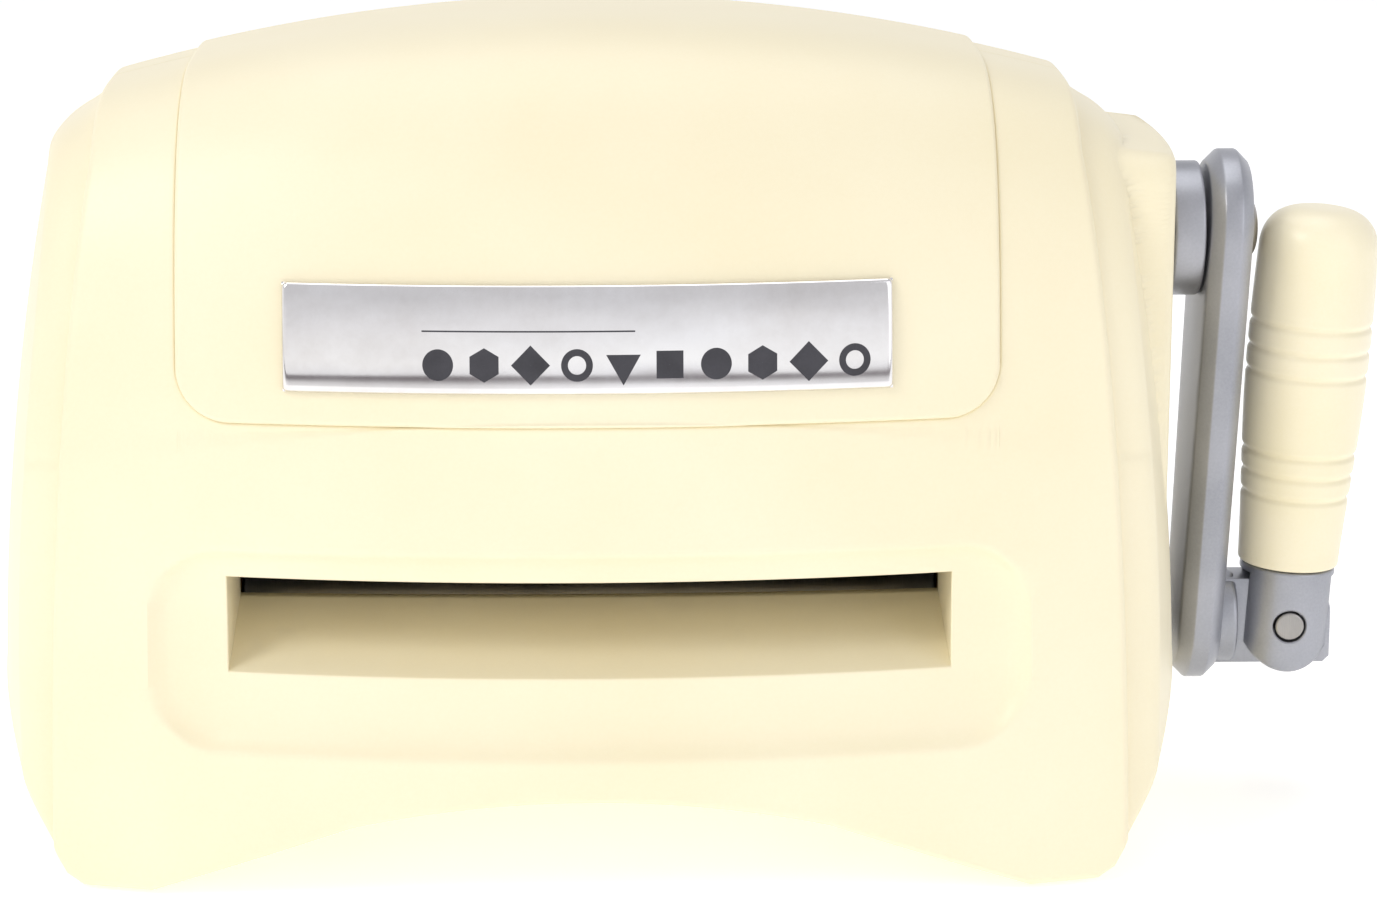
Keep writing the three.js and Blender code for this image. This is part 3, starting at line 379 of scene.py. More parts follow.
def shell_grid():
    """Columns and row heights of an end shell's face, with the index of each wall of its mouth."""
    wall_steps = np.array([0, 0.08, 0.18, 0.3, 0.45, 0.65, 1, 1.6, 2.6, 4.2])
    half = joined(np.linspace(0, TOE_X, 54), MOUTH_HALF - wall_steps, MOUTH_HALF + wall_steps, KNEE_X,
                  CORNER_COLUMNS, PANEL_HALF + EDGE_STEPS + 0.001, np.linspace(TOE_X, 116, 8),
                  SPLIT_FOOT - EDGE_STEPS)
    half = half[np.concatenate([[True], np.diff(half) > 0.03])]
    half[np.argmin(np.abs(half - MOUTH_HALF))] = MOUTH_HALF
    half[np.argmin(np.abs(half - PANEL_HALF))] = PANEL_HALF
    x = np.concatenate([-half[::-1], half[1:]])
    low = underside_z(x)
    start = DISH_LOW - 4
    lip = np.array([0, 0.12, 0.3, 0.55, 0.9, 1.3, 1.8, 2.5])
    rows = [low + d for d in lip]
    rows += [low + lip[-1] + (start - low - lip[-1]) * k for k in np.linspace(0, 1, 14)[1:]]
    flat = joined(np.linspace(start, MOUTH_LOW, 30), MOUTH_LOW - wall_steps, MOUTH_LOW,
                  np.linspace(MOUTH_LOW, MOUTH_HIGH, 14), RAMP_TOP, MOUTH_HIGH, MOUTH_HIGH + wall_steps,
                  np.linspace(MOUTH_HIGH, DISH_HIGH + 4, 14))[1:]
    first = len(rows)
    rows += [z + 0 * x for z in flat]
    top = panel_edge(np.minimum(np.abs(x), PANEL_HALF))
    bottom = DISH_HIGH + 4
    rows += [bottom + (top - bottom - 3.2) * k for k in np.linspace(0, 1, 14)[1:]]
    rows += [top - d for d in EDGE_STEPS[::-1][1:]]
    walls = [int(np.argmin(np.abs(x - side * MOUTH_HALF))) for side in (-1, 1)]
    levels = [first + int(np.argmin(np.abs(flat - z))) for z in (MOUTH_LOW, MOUTH_HIGH)]
    return x, np.array(rows), walls, levels


def shell_face(x, z):
    """The face as points: columns beyond the panel spread so that the last one follows the side cover."""
    sign, a = np.sign(x)[None], np.abs(x)[None]
    spread = (split_x(z) - PANEL_HALF) / (SPLIT_FOOT - PANEL_HALF)
    wide = np.where(a > PANEL_HALF, sign * (PANEL_HALF + (a - PANEL_HALF) * spread), sign * a)
    y = face_y(wide, z) + dish_drop(wide, z)
    y += roll_off(z - underside_z(wide), EDGE_R)
    y += roll_off(split_x(z) - np.abs(wide), EDGE_R)
    outside = rounded_box(wide, z, -PANEL_HALF, PANEL_HALF, PANEL_LOW, FAR_UP, PANEL_CORNER)
    y += roll_off(np.maximum(outside, 0), PANEL_SEAM_R)
    mouth = rounded_box(wide, z, -MOUTH_HALF, MOUTH_HALF, MOUTH_LOW, MOUTH_HIGH, 0.01)
    y += roll_off(np.maximum(mouth, 0), MOUTH_R)
    return np.stack([wide, y, z], -1)


def mouth_inside(face, walls, levels):
    """The mouth's sloping floor, flat ceiling and side walls, each a straight loft back to the slot."""
    a, b = walls
    t = np.concatenate([[0, 0.006, 0.015, 0.03, 0.05], np.linspace(0.08, 1, 16)])[:, None, None]
    inner = face[levels[0], a:b + 1]
    back = inner.copy()
    back[:, 1] = -RAMP_Y + 0.4 * drop(inner[:, 0])
    back[:, 2] = RAMP_TOP
    floor = inner[None] + (back - inner)[None] * t
    roof = face[levels[1], a:b + 1]
    far = back.copy()
    far[:, 2] = MOUTH_HIGH
    ceiling = roof[None] + (far - roof)[None] * t
    sides = []
    for at, end in ((a, 0), (b, -1)):
        front = face[levels[0]:levels[1] + 1, at]
        share = ((front[:, 2] - MOUTH_LOW) / (MOUTH_HIGH - MOUTH_LOW))[:, None]
        rear = back[end] + (far[end] - back[end]) * share
        sides.append(front[None] + (rear - front)[None] * t)
        sides[-1][:, 0] = floor[:, end]
        sides[-1][:, -1] = ceiling[:, end]
    return [part(floor), part(ceiling), part(sides[0]), part(sides[1])]


def beside_panel(x, face, sign):
    """The band beside the panel, from the face's last row to the seam along the top, and its outer rim."""
    cols = np.where(sign * x >= PANEL_HALF - 1e-4)[0]
    base = face[-1, cols]
    share = ((np.abs(x[cols]) - PANEL_HALF) / (SPLIT_FOOT - PANEL_HALF))[None]
    start = length_at(base[:, 0], base[:, 2])
    s = start[None] + (END - start)[None] * np.linspace(0, 1, 90)[:, None]
    height = np.interp(s, LENGTH, HEIGHT)
    wide = np.repeat(base[None, :, 0], len(s), 0)
    for _ in range(4):
        edge = split_x(height * (1 - drop(wide) / CASE_TOP))
        wide = sign * (PANEL_HALF + share * (edge - PANEL_HALF))
    h = -roll_off(edge - np.abs(wide), EDGE_R) - roll_off(np.abs(wide) - PANEL_HALF, PANEL_SEAM_R)
    band = skin(wide, s, h)
    band[0] = base
    last = -1 if sign > 0 else 0
    rim = np.concatenate([face[:-1, last], band[:, last]])
    inwards = np.gradient(rim[:, 1:], axis=0)
    inwards = np.stack([inwards[:, 1], -inwards[:, 0]], -1)
    inwards /= np.maximum(np.hypot(inwards[:, 0], inwards[:, 1])[:, None], 1e-9)
    deep = rim.copy()
    deep[:, 1:] += RIM_DEPTH * inwards
    deep[:, 1] = np.minimum(deep[:, 1], -0.02)
    return [part(band), part(np.stack([rim, deep], 1))]


def foot_floor(x, face, sign):
    """The floor of one foot, from the face's lower edge back to the seam between the shells."""
    front = face[0, sign * x >= TOE_X - FOOT_START]
    t = np.linspace(0, 1, 14)[:, None]
    grid = np.repeat(front[None], 14, 0)
    grid[..., 1] = front[None, :, 1] * (1 - t)
    return part(grid)


def under_lip(x, face):
    """The turned-in lip along the arch, straight back to the bottom cover."""
    front = face[0, np.abs(x) <= TOE_X - LIP_END]
    grid = np.repeat(front[None], 6, 0)
    grid[..., 1] = front[None, :, 1] + LIP_DEPTH * np.linspace(0, 1, 6)[:, None]
    return part(grid)


def end_shell(name, node, rear):
    """An end shell: its face with the dish and mouth, the bands up to the top, and its feet."""
    x, z, walls, levels = shell_grid()
    face = shell_face(x, z)
    keep = np.ones((len(z) - 1, len(x) - 1), bool)
    keep[levels[0]:levels[1], walls[0]:walls[1]] = False
    grids = [part(face, keep=keep)] + mouth_inside(face, walls, levels) + [under_lip(x, face)]
    for sign in (-1, 1):
        grids += beside_panel(x, face, sign) + [foot_floor(x, face, sign)]
    if rear:
        grids = [(mirror_y(g[0]),) + g[1:] for g in grids]
    return piece(name, grids, "case", [node], SHELL_WALL, 40, INSIDE)


def side_outline(count):
    """The side cover's edge as (y, z) points at even steps: up the front, over the top, down the rear."""
    s = np.linspace(0, END, 1200)
    y = -np.interp(s, LENGTH, DEPTH)
    z = np.interp(s, LENGTH, HEIGHT)
    z_true = z
    for _ in range(4):
        x = split_x(z_true)
        z_true = z * (1 - (CHEEK_TOP + TOP_SLOPE * (x - CHEEK_X)) / CASE_TOP)
    y = y * (1 - (CHEEK_FACE + FACE_SLOPE * (x - CHEEK_X)) / FOOT_DEPTH)
    use = z_true >= (SPLIT_FOOT - CUT_X) / CUT_SLOPE
    half = np.stack([y[use], z_true[use]], -1)
    line = np.concatenate([half, (half * [-1, 1])[::-1][1:]])
    bottom = np.linspace(line[-1], line[0], 60)[1:-1]
    loop = np.concatenate([line, bottom, line[:1]])
    length = np.concatenate([[0], np.cumsum(np.hypot(*np.diff(loop, axis=0).T))])
    at = np.linspace(0, length[-1], count, endpoint=False)
    corner = length[len(line) - 1]
    at[np.argmin(np.abs(at - corner))] = corner
    return np.stack([np.interp(at, length, loop[:, 0]), np.interp(at, length, loop[:, 1])], -1)


def side_cover(name, node, sign, pad):
    """A side cover: loops from its edge in to a vertical spine, and its sideways reach over each point.

    The reach is the softened least of three surfaces: a slope up from the edge, the crowned side that
    leans in above the middle, and the sloping end of the foot. A pad adds a flat-faced block to it.
    """
    outline = side_outline(420)
    spine = np.stack([0 * outline[:, 0], np.clip(outline[:, 1], SPINE_LOW, SPINE_HIGH)], -1)
    reach = np.hypot(*(outline - spine).T)[:, None]
    steps = np.concatenate([0.24 * np.linspace(0, 1, 34) ** 1.12, np.linspace(0.24, 0.52, 44)[1:],
                            np.linspace(0.52, 1, 16)[1:]])
    flat = outline[:, None] + (spine - outline)[:, None] * steps[None, :, None]
    y, z = flat[..., 0], flat[..., 1]
    inset = steps[None] * reach
    tangent = np.gradient(np.concatenate([outline[-1:], outline, outline[:1]]), axis=0)[1:-1]
    tangent /= np.hypot(*tangent.T)[:, None]
    facing = np.abs(tangent[:, 0] * (spine - outline)[:, 1] - tangent[:, 1] * (spine - outline)[:, 0])
    inset = inset * (facing / reach[:, 0])[:, None]
    topness = np.abs(tangent[:, :1]) * (outline[:, 1:] > 30)
    slope = 1 / (FACE_SLOPE + (TOP_SLOPE - FACE_SLOPE) * topness)
    edge = split_x(outline[:, 1])[:, None]
    x_cheek = edge + inset * slope
    x_side = SIDE_HALF - TUCK * np.maximum(z - TUCK_FROM, 0) ** 2 - y * y / (2 * SIDE_CROWN)
    x = smooth_min(x_cheek, x_side, CHEEK_BLEND)
    x = smooth_min(x, CUT_X + CUT_SLOPE * z, FOOT_BLEND)
    x = np.where(inset < 1e-6, edge, x)
    if pad:
        d = rounded_box(y, z, -PAD_HALF, PAD_HALF, PAD_LOW, PAD_TOP, PAD_CORNER)
        block = PAD_FACE - y * y / (2 * PAD_CROWN)
        block = block - roll_off(np.maximum(-d, 0), PAD_EDGE) - np.maximum(d, 0) * PAD_FLANK
        x = -smooth_min(-x, -block, PAD_BLEND)
    points = np.stack([sign * (x - SEAM_STEP), y, z], -1)
    skirt = points[:, :1].copy()
    skirt[..., 0] = sign * (np.abs(skirt[..., 0]) - SKIRT_DEPTH)
    skirt[..., 1:] += SKIRT_INSET * (spine - outline)[:, None] / reach[..., None]
    keep = None
    if pad:
        middle = (flat[:, :-1] + flat[:, 1:]) / 2
        middle = (middle + np.roll(middle, -1, 0)) / 2
        clear = np.hypot(middle[..., 0], middle[..., 1] - CRANK_Z) > SHAFT_HOLE
        keep = np.concatenate([np.ones((len(clear), 1), bool), clear], 1).T
    grid = np.swapaxes(np.concatenate([skirt, points], 1), 0, 1)
    return piece(name, [part(grid, closed=True, keep=keep)], "case", [node], CHEEK_WALL, 45, INSIDE)


# ------------------------------------------------------------------ badge


def badge_point(x, z, lift):
    """A point over the badge's place on the crowned front, raised from the case's surface."""
    return skin(x, length_at(x, z), lift)


def badge_lift(z):
    """The chrome's height over the case: highest along the middle, falling by the square of the way out."""
    across = (2 * z - BADGE_LOW - BADGE_HIGH) / (BADGE_HIGH - BADGE_LOW)
    return BADGE_TOP - BADGE_CROWN * across ** 2


def badge():
    """A pillow of chrome: its lift falls from the middle to the long edges and rolls off at the rim."""
    rim = np.array([0, 0.05, 0.12, 0.22, 0.35, 0.5, 0.7, 1.0, 1.5, 2.2])
    half_x = joined(np.linspace(0, BADGE_HALF - rim[-1], 60), BADGE_HALF - rim)
    x = np.concatenate([-half_x[::-1], half_x[1:]])
    z = joined(BADGE_LOW + rim, np.linspace(BADGE_LOW + rim[-1], BADGE_HIGH - rim[-1], 40), BADGE_HIGH - rim)
    xx, zz = np.meshgrid(x, z)
    d = -rounded_box(xx, zz, -BADGE_HALF, BADGE_HALF, BADGE_LOW, BADGE_HIGH, BADGE_CORNER)
    front = badge_point(xx, zz, badge_lift(zz) - roll_off(np.maximum(d, 0), BADGE_RIM))
    back = badge_point(xx, zz, BADGE_BACK + 0 * xx)
    ring = [(0, slice(None)), (slice(None), -1), (-1, slice(None, None, -1)), (slice(None, None, -1), 0)]
    walls = [part(np.stack([back[r], front[r]], 0)) for r in ring]
    return piece("badge_plate", [part(front), part(back)] + walls, "case", ["name_plate"], 0, 50)


def printed_shape(name, x, z, inner, outer):
    """Flat ink on the badge between two outlines that give a radius for every direction."""
    turn = np.linspace(0, 2 * np.pi, 96, endpoint=False)
    share = np.linspace(0, 1, 8)[:, None]
    r = inner(turn)[None] + (outer(turn) - inner(turn))[None] * share
    xx, zz = x + r * np.cos(turn), z + r * np.sin(turn)
    top = badge_point(xx, zz, badge_lift(zz) + INK_RISE)
    under = badge_point(xx, zz, badge_lift(zz) - INK_SINK)
    closed = np.concatenate([under, top[::-1]])
    grid = np.concatenate([closed, closed[:1]])
    return piece(name, [part(grid, closed=True)], "case", (), 0, 60)


def printed_bar(name, left, right, z, thick):
    """A thin printed rule: a flat ribbon that follows the badge."""
    x = np.linspace(left, right, 60)
    half = thick / 2
    rows = [badge_point(x, z + d + 0 * x, badge_lift(z + d) + lift)
            for d, lift in ((-half, -INK_SINK), (-half, INK_RISE), (half, INK_RISE), (half, -INK_SINK))]
    grid = np.swapaxes(np.array(rows), 0, 1)
    return piece(name, [part(grid, closed=True, caps=(True, True))], "case", (), 0, 60)


def polygon(sides, size, turned_by=0.0):
    """The radius of a regular polygon's edge for every direction."""
    half = np.pi / sides
    return lambda t: size * np.cos(half) / np.cos((t - turned_by + half) % (2 * half) - half)


# ------------------------------------------------------------------ rollers, crank and handle


def roller(name, node, body):
    """A roller with its two shaft ends, turned about X, with small chamfers."""
    centre = centre_mm(node)
    low, high = [float(c[0]) - CENTRE_X for c in box_mm(node)]
    z = float(centre[2])
    profile = [(0, low), (SHAFT_R, low), (SHAFT_R, -ROLLER_HALF), (ROLLER_R, -ROLLER_HALF),
               (ROLLER_R, ROLLER_HALF), (SHAFT_R, ROLLER_HALF), (SHAFT_R, high), (0, high)]
    line = rounded(profile, [0.8, 0.2, 1, 1, 0.2, 0.8], 4)
    return piece(name, [part(turned(line, "x", (0, 0, z), 96), closed=True)], body, [node])


def hub():
    """The washer between the case and the crank arm."""
    bore = SHAFT_R + 0.25
    profile = [(bore, HUB_IN + 1), (bore, HUB_IN), (HUB_R, HUB_IN), (HUB_R, HUB_OUT), (bore, HUB_OUT),
               (bore, HUB_IN + 1)]
    line = rounded(profile, [0.3, 0.8, 0.8, 0.3], 5)
    return piece("hub_washer", [part(turned(line, "x", (0, 0, CRANK_Z), 96), closed=True)], "crank",
                 ["crank_hub"])


def arm_outline(inset):
    """The arm's outline: a large and a small circle with their common tangents, inset by a distance."""
    big, small = ARM_BIG - inset, ARM_SMALL - inset
    tilt = math.asin((big - small) / ARM_REACH)
    upper = np.linspace(-tilt, np.pi + tilt, 56)
    lower = np.linspace(np.pi + tilt, 2 * np.pi - tilt, 40)
    arc_big = np.stack([big * np.cos(upper), big * np.sin(upper)], -1)
    arc_small = np.stack([small * np.cos(lower), -ARM_REACH + small * np.sin(lower)], -1)
    side = np.linspace(0, 1, 14)[1:-1, None]
    down = arc_big[-1] + (arc_small[0] - arc_big[-1]) * side
    up = arc_small[-1] + (arc_big[0] - arc_small[-1]) * side
    return np.concatenate([arc_big, down, arc_small, up])


def arm_point(outline, depth):
    """Outline points placed across the arm's thickness, leaning in towards the foot."""
    y, z = outline[:, 0], outline[:, 1]
    return np.stack([ARM_IN + depth + ARM_LEAN * z, y, CRANK_Z + z], -1)


def crank_arm():
    """The cast arm: insets and depths run round its flat bevels, with a boss and a tongue below."""
    soft, b = 0.35, ARM_BEVEL
    corner = [(b + 4, 0), (b + soft, 0), (b + 0.12, 0.05), (b - 0.25, 0.25), (0.25, b - 0.25),
              (0.05, b + 0.12), (0, b + soft)]
    profile = corner + [(inset, ARM_THICK - depth) for inset, depth in corner[::-1]]
    rows = [arm_point(arm_outline(inset), depth) for inset, depth in profile]
    blade = part(np.array(rows), closed=True, caps=(True, True))
    line = rounded([(0, BOSS_IN), (BOSS_R, BOSS_IN), (BOSS_R, BOSS_OUT), (0, BOSS_OUT)], [0.6, 1.4], 6)
    boss = part(turned(line, "x", (0, 0, PIN_Z), 72), closed=True)
    return piece("arm_casting", [blade, boss, tongue()], "crank", ["crank_arm"])


def tongue():
    """The tongue between the fork's ears: a block with a round upper corner and eased edges."""
    edge = [(TONGUE_FROM, -TONGUE_HIGH), (TONGUE_END - 1.5, -TONGUE_HIGH), (TONGUE_END, -TONGUE_HIGH + 1.5)]
    turn = np.linspace(0, np.pi / 2, 14)
    arc = np.stack([PIN_X + (TONGUE_END - PIN_X) * np.cos(turn), 2 + (TONGUE_HIGH - 2) * np.sin(turn)], -1)
    loop = np.concatenate([edge, arc, [(TONGUE_FROM, TONGUE_HIGH)]])
    middle = loop.mean(0)
    rows = []
    for inset, y in ((0.6, -TONGUE_HALF), (0.18, -TONGUE_HALF + 0.15), (0, -TONGUE_HALF + 0.6),
                     (0, TONGUE_HALF - 0.6), (0.18, TONGUE_HALF - 0.15), (0.6, TONGUE_HALF)):
        line = loop - (loop - middle) / np.hypot(*(loop - middle).T)[:, None] * inset
        rows.append(np.stack([line[:, 0], y + 0 * line[:, 0], PIN_Z + line[:, 1]], -1))
    return part(np.array(rows), closed=True, caps=(True, True))


def arm_screw():
    """A domed button head with a six-sided socket."""
    low, high = [float(c[0]) - CENTRE_X for c in box_mm("arm_screw")]
    face, floor_x = high - HEAD_HIGH, high - SOCKET_DEPTH
    turn = np.linspace(0, 2 * np.pi, 72, endpoint=False)
    hexagon = polygon(6, SOCKET_R)(turn)
    rows = [(0, low), (SCREW_CORE, low), (SCREW_CORE, face), (SCREW_R, face)]
    rows += [(SCREW_R * np.cos(a) ** 0.5, face + 0.5 + 2.1 * math.sin(a)) for a in np.linspace(0, 1.15, 9)]
    rows += [(hexagon * 1.12, high - 0.05), (hexagon, high - 0.2), (hexagon, floor_x), (0, floor_x)]
    grid = np.array([np.stack([x + 0 * turn, r * np.cos(turn), CRANK_Z + r * np.sin(turn)], -1)
                     for r, x in rows])
    return piece("button_screw", [part(grid, closed=True)], "crank", ["arm_screw"])


def leant(points):
    """Points drawn standing on the cross pin, leant outwards about it."""
    c, s = math.cos(FORK_LEAN), math.sin(FORK_LEAN)
    x, z = points[..., 0] * c + points[..., 2] * s, -points[..., 0] * s + points[..., 2] * c
    return np.stack([x + PIN_X, points[..., 1], z + PIN_Z], -1)


def fork_ear(side):
    """One ear: the part of a round column beyond the slot, rounded below about the cross pin.

    Seen along the pin its edge is a circle below, two upright sides and a flat top under the collar. Rings
    run from the pin's hole out to that edge at the column's depth, back over the edge, and in again.
    """
    turn = np.linspace(0, 2 * np.pi, 144, endpoint=False)
    c, s = np.cos(turn), np.sin(turn)
    width = math.sqrt(FORK_R ** 2 - FORK_SLOT ** 2)
    edge = np.minimum(width / np.maximum(np.abs(c), 1e-6),
                      np.where(s > 0, (SLOT_TOP + 1) / np.maximum(s, 1e-6), FORK_R))
    hole = PIN_R + 0.45
    share = np.concatenate([[0, 0.04], np.linspace(0.1, 0.9, 12), [0.96, 1]])[:, None]
    r = hole + (edge - hole)[None] * share
    depth = np.sqrt(np.maximum(FORK_R ** 2 - (r * c) ** 2, FORK_SLOT ** 2))
    depth = depth - roll_off(r - hole, 0.35) - roll_off(edge[None] - r, 0.7) * (s < 0.2)
    depth = np.maximum(depth, FORK_SLOT + 0.02)
    outer = np.stack([r * c, side * depth, r * s], -1)
    inner = np.stack([r * c, side * FORK_SLOT + 0 * r, r * s], -1)[::-1]
    rings = np.concatenate([outer, inner, outer[:1]])
    return part(leant(rings), closed=True)


def handle_fork():
    """The fork's collar and spindle turned about the handle's axis, and its two ears."""
    line = rounded([(0, SLOT_TOP), (FORK_R, SLOT_TOP), (FORK_R, FORK_TOP), (SPINDLE_R, FORK_TOP),
                    (SPINDLE_R, 83.6), (3.2, 84), (3.2, 85.4), (SPINDLE_R, 85.8), (SPINDLE_R, SPINDLE_END),
                    (0, SPINDLE_END)], [0.3, 0.8, 0.3, 0.1, 0.1, 0.1, 0.1, 0.6], 5)
    collar = part(leant(turned(line, "z", (0, 0, 0), 72)), closed=True)
    return piece("fork_casting", [collar, fork_ear(-1), fork_ear(1)], "handle",
                 ["handle_fork"])


def hinge_pin():
    """The cross pin, with slightly domed ends."""
    half = float(box_mm("hinge_pin")[1][1])
    line = rounded([(0, -half), (PIN_R, -half + 0.2), (PIN_R, half - 0.2), (0, half)], [0.7, 0.7], 6)
    return piece("cross_pin", [part(turned(line, "y", (PIN_X, 0, PIN_Z), 64), closed=True)], "handle",
                 ["hinge_pin"])


def grip_radius(t):
    """The grip's outline: a power of a sine up to its widest place, and a parabola down from there."""
    radius, swelling, fall = GRIP_SHAPE
    low = radius + swelling * np.sin(np.pi / 2 * np.clip(t / GRIP_WIDEST, 0, 1)) ** 1.4
    return low - fall * np.clip((t - GRIP_WIDEST) / (1 - GRIP_WIDEST), 0, 1) ** 2


def grip():
    """The moulded grip: swelling sides, two groups of three round grooves and a domed end."""
    neck = GRIP_LENGTH - GRIP_DOME
    along = joined(np.linspace(1, neck, 90), np.linspace(15, 31, 80), np.linspace(45, 62, 85))
    radius = grip_radius(along / GRIP_LENGTH)
    for groove in GROOVES:
        radius = radius - GROOVE_DEPTH * np.exp(-((along - groove) / GROOVE_WIDTH) ** 2)
    turn = np.linspace(0, np.pi / 2, 22)[1:]
    bend = np.linspace(0, 1.5, 5)
    stop = RING_ROOM - GRIP_FROM
    bore = [(0, stop), (RING_BORE, stop), (RING_BORE, RING_FROM), (GRIP_BORE, RING_FROM), (GRIP_BORE, 0)]
    foot = np.stack([radius[0] - 1 + np.sin(bend), 1 - np.cos(bend)], -1)
    dome = np.stack([radius[-1] * np.cos(turn) ** 0.6, neck + GRIP_DOME * np.sin(turn)], -1)
    line = np.concatenate([bore, foot, np.stack([radius, along], -1), dome])
    line[-1, 0] = 0
    line[:, 1] += GRIP_FROM
    return piece("turning_handle_grip", [part(leant(turned(line, "z", (0, 0, 0), 96)), closed=True)],
                 "turning_grip", ["grip"])


# ------------------------------------------------------------------ finishes


def linear(hex_colour):
    """An sRGB hex colour as linear RGBA."""
    parts = [int(hex_colour[i:i + 2], 16) / 255 for i in (0, 2, 4)]
    return tuple(c / 12.92 if c <= 0.04045 else ((c + 0.055) / 1.055) ** 2.4 for c in parts) + (1.0,)


def add(tree, kind, settings=None, **inputs):
    """A node with its settings and inputs. An input is a value or another node's output."""
    node = tree.nodes.new(kind)
    for key, value in (settings or {}).items():
        setattr(node, key, value)
    for key, value in inputs.items():
        socket = node.inputs[int(key[1:])] if key[0] == "i" and key[1:].isdigit() else node.inputs[
            key.replace("_", " ")]
        if isinstance(value, bpy.types.NodeSocket):
            tree.links.new(value, socket)
        else:
            socket.default_value = value
    return node


def times_plus(tree, value, factor, plus):
    """A value times a factor, plus a number or another value."""
    return add(tree, "ShaderNodeMath", {"operation": "MULTIPLY_ADD"}, i0=value, i1=factor, i2=plus).outputs[0]


def colour_ramp(tree, value, stops):
    """A value turned to colour: each stop is a place on the ramp and its sRGB hex colour."""
    ramp = add(tree, "ShaderNodeValToRGB", Fac=value)
    for place, _ in stops[1:-1]:
        ramp.color_ramp.elements.new(place)
    for element, (place, colour) in zip(ramp.color_ramp.elements, stops):
        element.position, element.color = place, linear(colour)
    return ramp.outputs["Color"]


GRAIN_SHARE = 0.35  # how much of the colour's movement is fine grain


def finish(name, colours, rough, metal=0.0, mottle_mm=40.0, grain_mm=1.0, bump_mm=0.02, stretch=(1, 1, 1)):
    """A finish: slow colour mottling, a fine grain that moves colour and gloss a little, and its bump."""
    material = bpy.data.materials.new(name)
    material.use_nodes = True
    tree = material.node_tree
    tree.nodes.clear()
    place = add(tree, "ShaderNodeTexCoord").outputs["Object"]
    mapped = add(tree, "ShaderNodeMapping", Vector=place, Scale=stretch).outputs["Vector"]
    slow = add(tree, "ShaderNodeTexNoise", Vector=place, Scale=1000 / mottle_mm, Detail=3.0)
    fine = add(tree, "ShaderNodeTexNoise", Vector=mapped, Scale=1000 / grain_mm, Detail=4.0, Roughness=0.6)
    mixed = times_plus(tree, fine.outputs["Fac"], GRAIN_SHARE, slow.outputs["Fac"])
    ramp = colour_ramp(tree, mixed, ((0.45, colours[0]), (0.9, colours[1])))
    gloss = add(tree, "ShaderNodeMapRange", Value=mixed, i1=0.4, i2=1.0, i3=rough[0], i4=rough[1])
    bump = add(tree, "ShaderNodeBump", Strength=0.6, Distance=bump_mm * 0.001, Height=fine.outputs["Fac"])
    shader = add(tree, "ShaderNodeBsdfPrincipled", Base_Color=ramp,
                 Roughness=gloss.outputs["Result"], Metallic=metal, Normal=bump.outputs["Normal"])
    add(tree, "ShaderNodeOutputMaterial", Surface=shader.outputs[0])
    return material


# Moulded ABS: cream and satin, from a finely spark-eroded tool, so highlights are broad and soft.
moulded_abs = finish("moulded cream ABS", ("f5eac9", "f8efd2"), (0.36, 0.44), 0, 60, 0.9, 0.012)
# The grip is the same cream but polished by hands, so its highlight is tighter.
grip_abs = finish("polished cream ABS", ("f8eecc", "fcf3d8"), (0.28, 0.36), 0, 30, 0.7, 0.008)
# Die-cast zinc under silver-grey stove enamel: a fine metallic fleck and a slight orange peel.
painted_casting = finish("silver-grey painted casting", ("989aa1", "b1b2b9"), (0.32, 0.42), 0.7, 25, 0.6,
                         0.03)
# Chrome plating on a moulded badge: nearly a mirror, with a faint haze.
chrome = finish("bright chrome plating", ("dcd9d8", "ecebec"), (0.05, 0.09), 1.0, 30, 3.0, 0.002)
# Turned steel: tight rings along the axis that scatter the highlight across it.
turned_steel = finish("turned steel", ("8b8886", "b3b0ac"), (0.24, 0.4), 1.0, 30, 0.8, 0.01, (4, 0.25, 0.25))
# Zinc-plated sheet: cool grey with cloudy spangle.
zinc_sheet = finish("zinc-plated sheet", ("9aa0a6", "c1c5c8"), (0.32, 0.5), 1.0, 12, 1.5, 0.01)
# Sintered bronze: warm, matt and porous.
sintered_bronze = finish("sintered bronze", ("8d6a35", "b78f55"), (0.42, 0.58), 1.0, 10, 0.4, 0.03)
# Glass-filled nylon: charcoal, with a dry sheen.
filled_nylon = finish("glass-filled nylon", ("2b2d31", "3e4147"), (0.45, 0.6), 0, 20, 0.6, 0.02)
# Moulded rubber: dark and matt.
foot_rubber = finish("moulded rubber", ("1f1f20", "2f2f30"), (0.75, 0.9), 0, 15, 0.5, 0.02)
# Pad-printed ink: dark, slightly uneven.
printed_ink = finish("pad-printed ink", ("2c2b31", "3c3b42"), (0.35, 0.5), 0, 8, 0.5, 0.004)
# Emulsion paint on the table under the machine: white and matt; floor() then paints shade and a glow over it.
table_painted_shade_and_glow = finish("white table with painted shade and glow", ("fbfbfa", "ffffff"), (0.75, 0.9), 0, 200, 3.0, 0.01)

FINISHES = {"case": moulded_abs, "grip_plastic": grip_abs, "cast_metal": painted_casting, "chrome": chrome,
            "steel": turned_steel, "plated_steel": zinc_sheet, "gear_nylon": filled_nylon,
            "bronze": sintered_bronze, "rubber": foot_rubber}


def paint(obj, material):
    """Give an object one material in place of what it has."""
    obj.data.materials.clear()
    obj.data.materials.append(material)


# ------------------------------------------------------------------ the pieces

made = [top_cover(),
        end_shell("front_casing", "front_shell", False),
        end_shell("rear_casing", "rear_shell", True),
        side_cover("left_cheek", "left_side_cover", -1, False),
        side_cover("right_cheek", "right_side_cover", 1, True)]
for obj in made:
    paint(obj, moulded_abs)

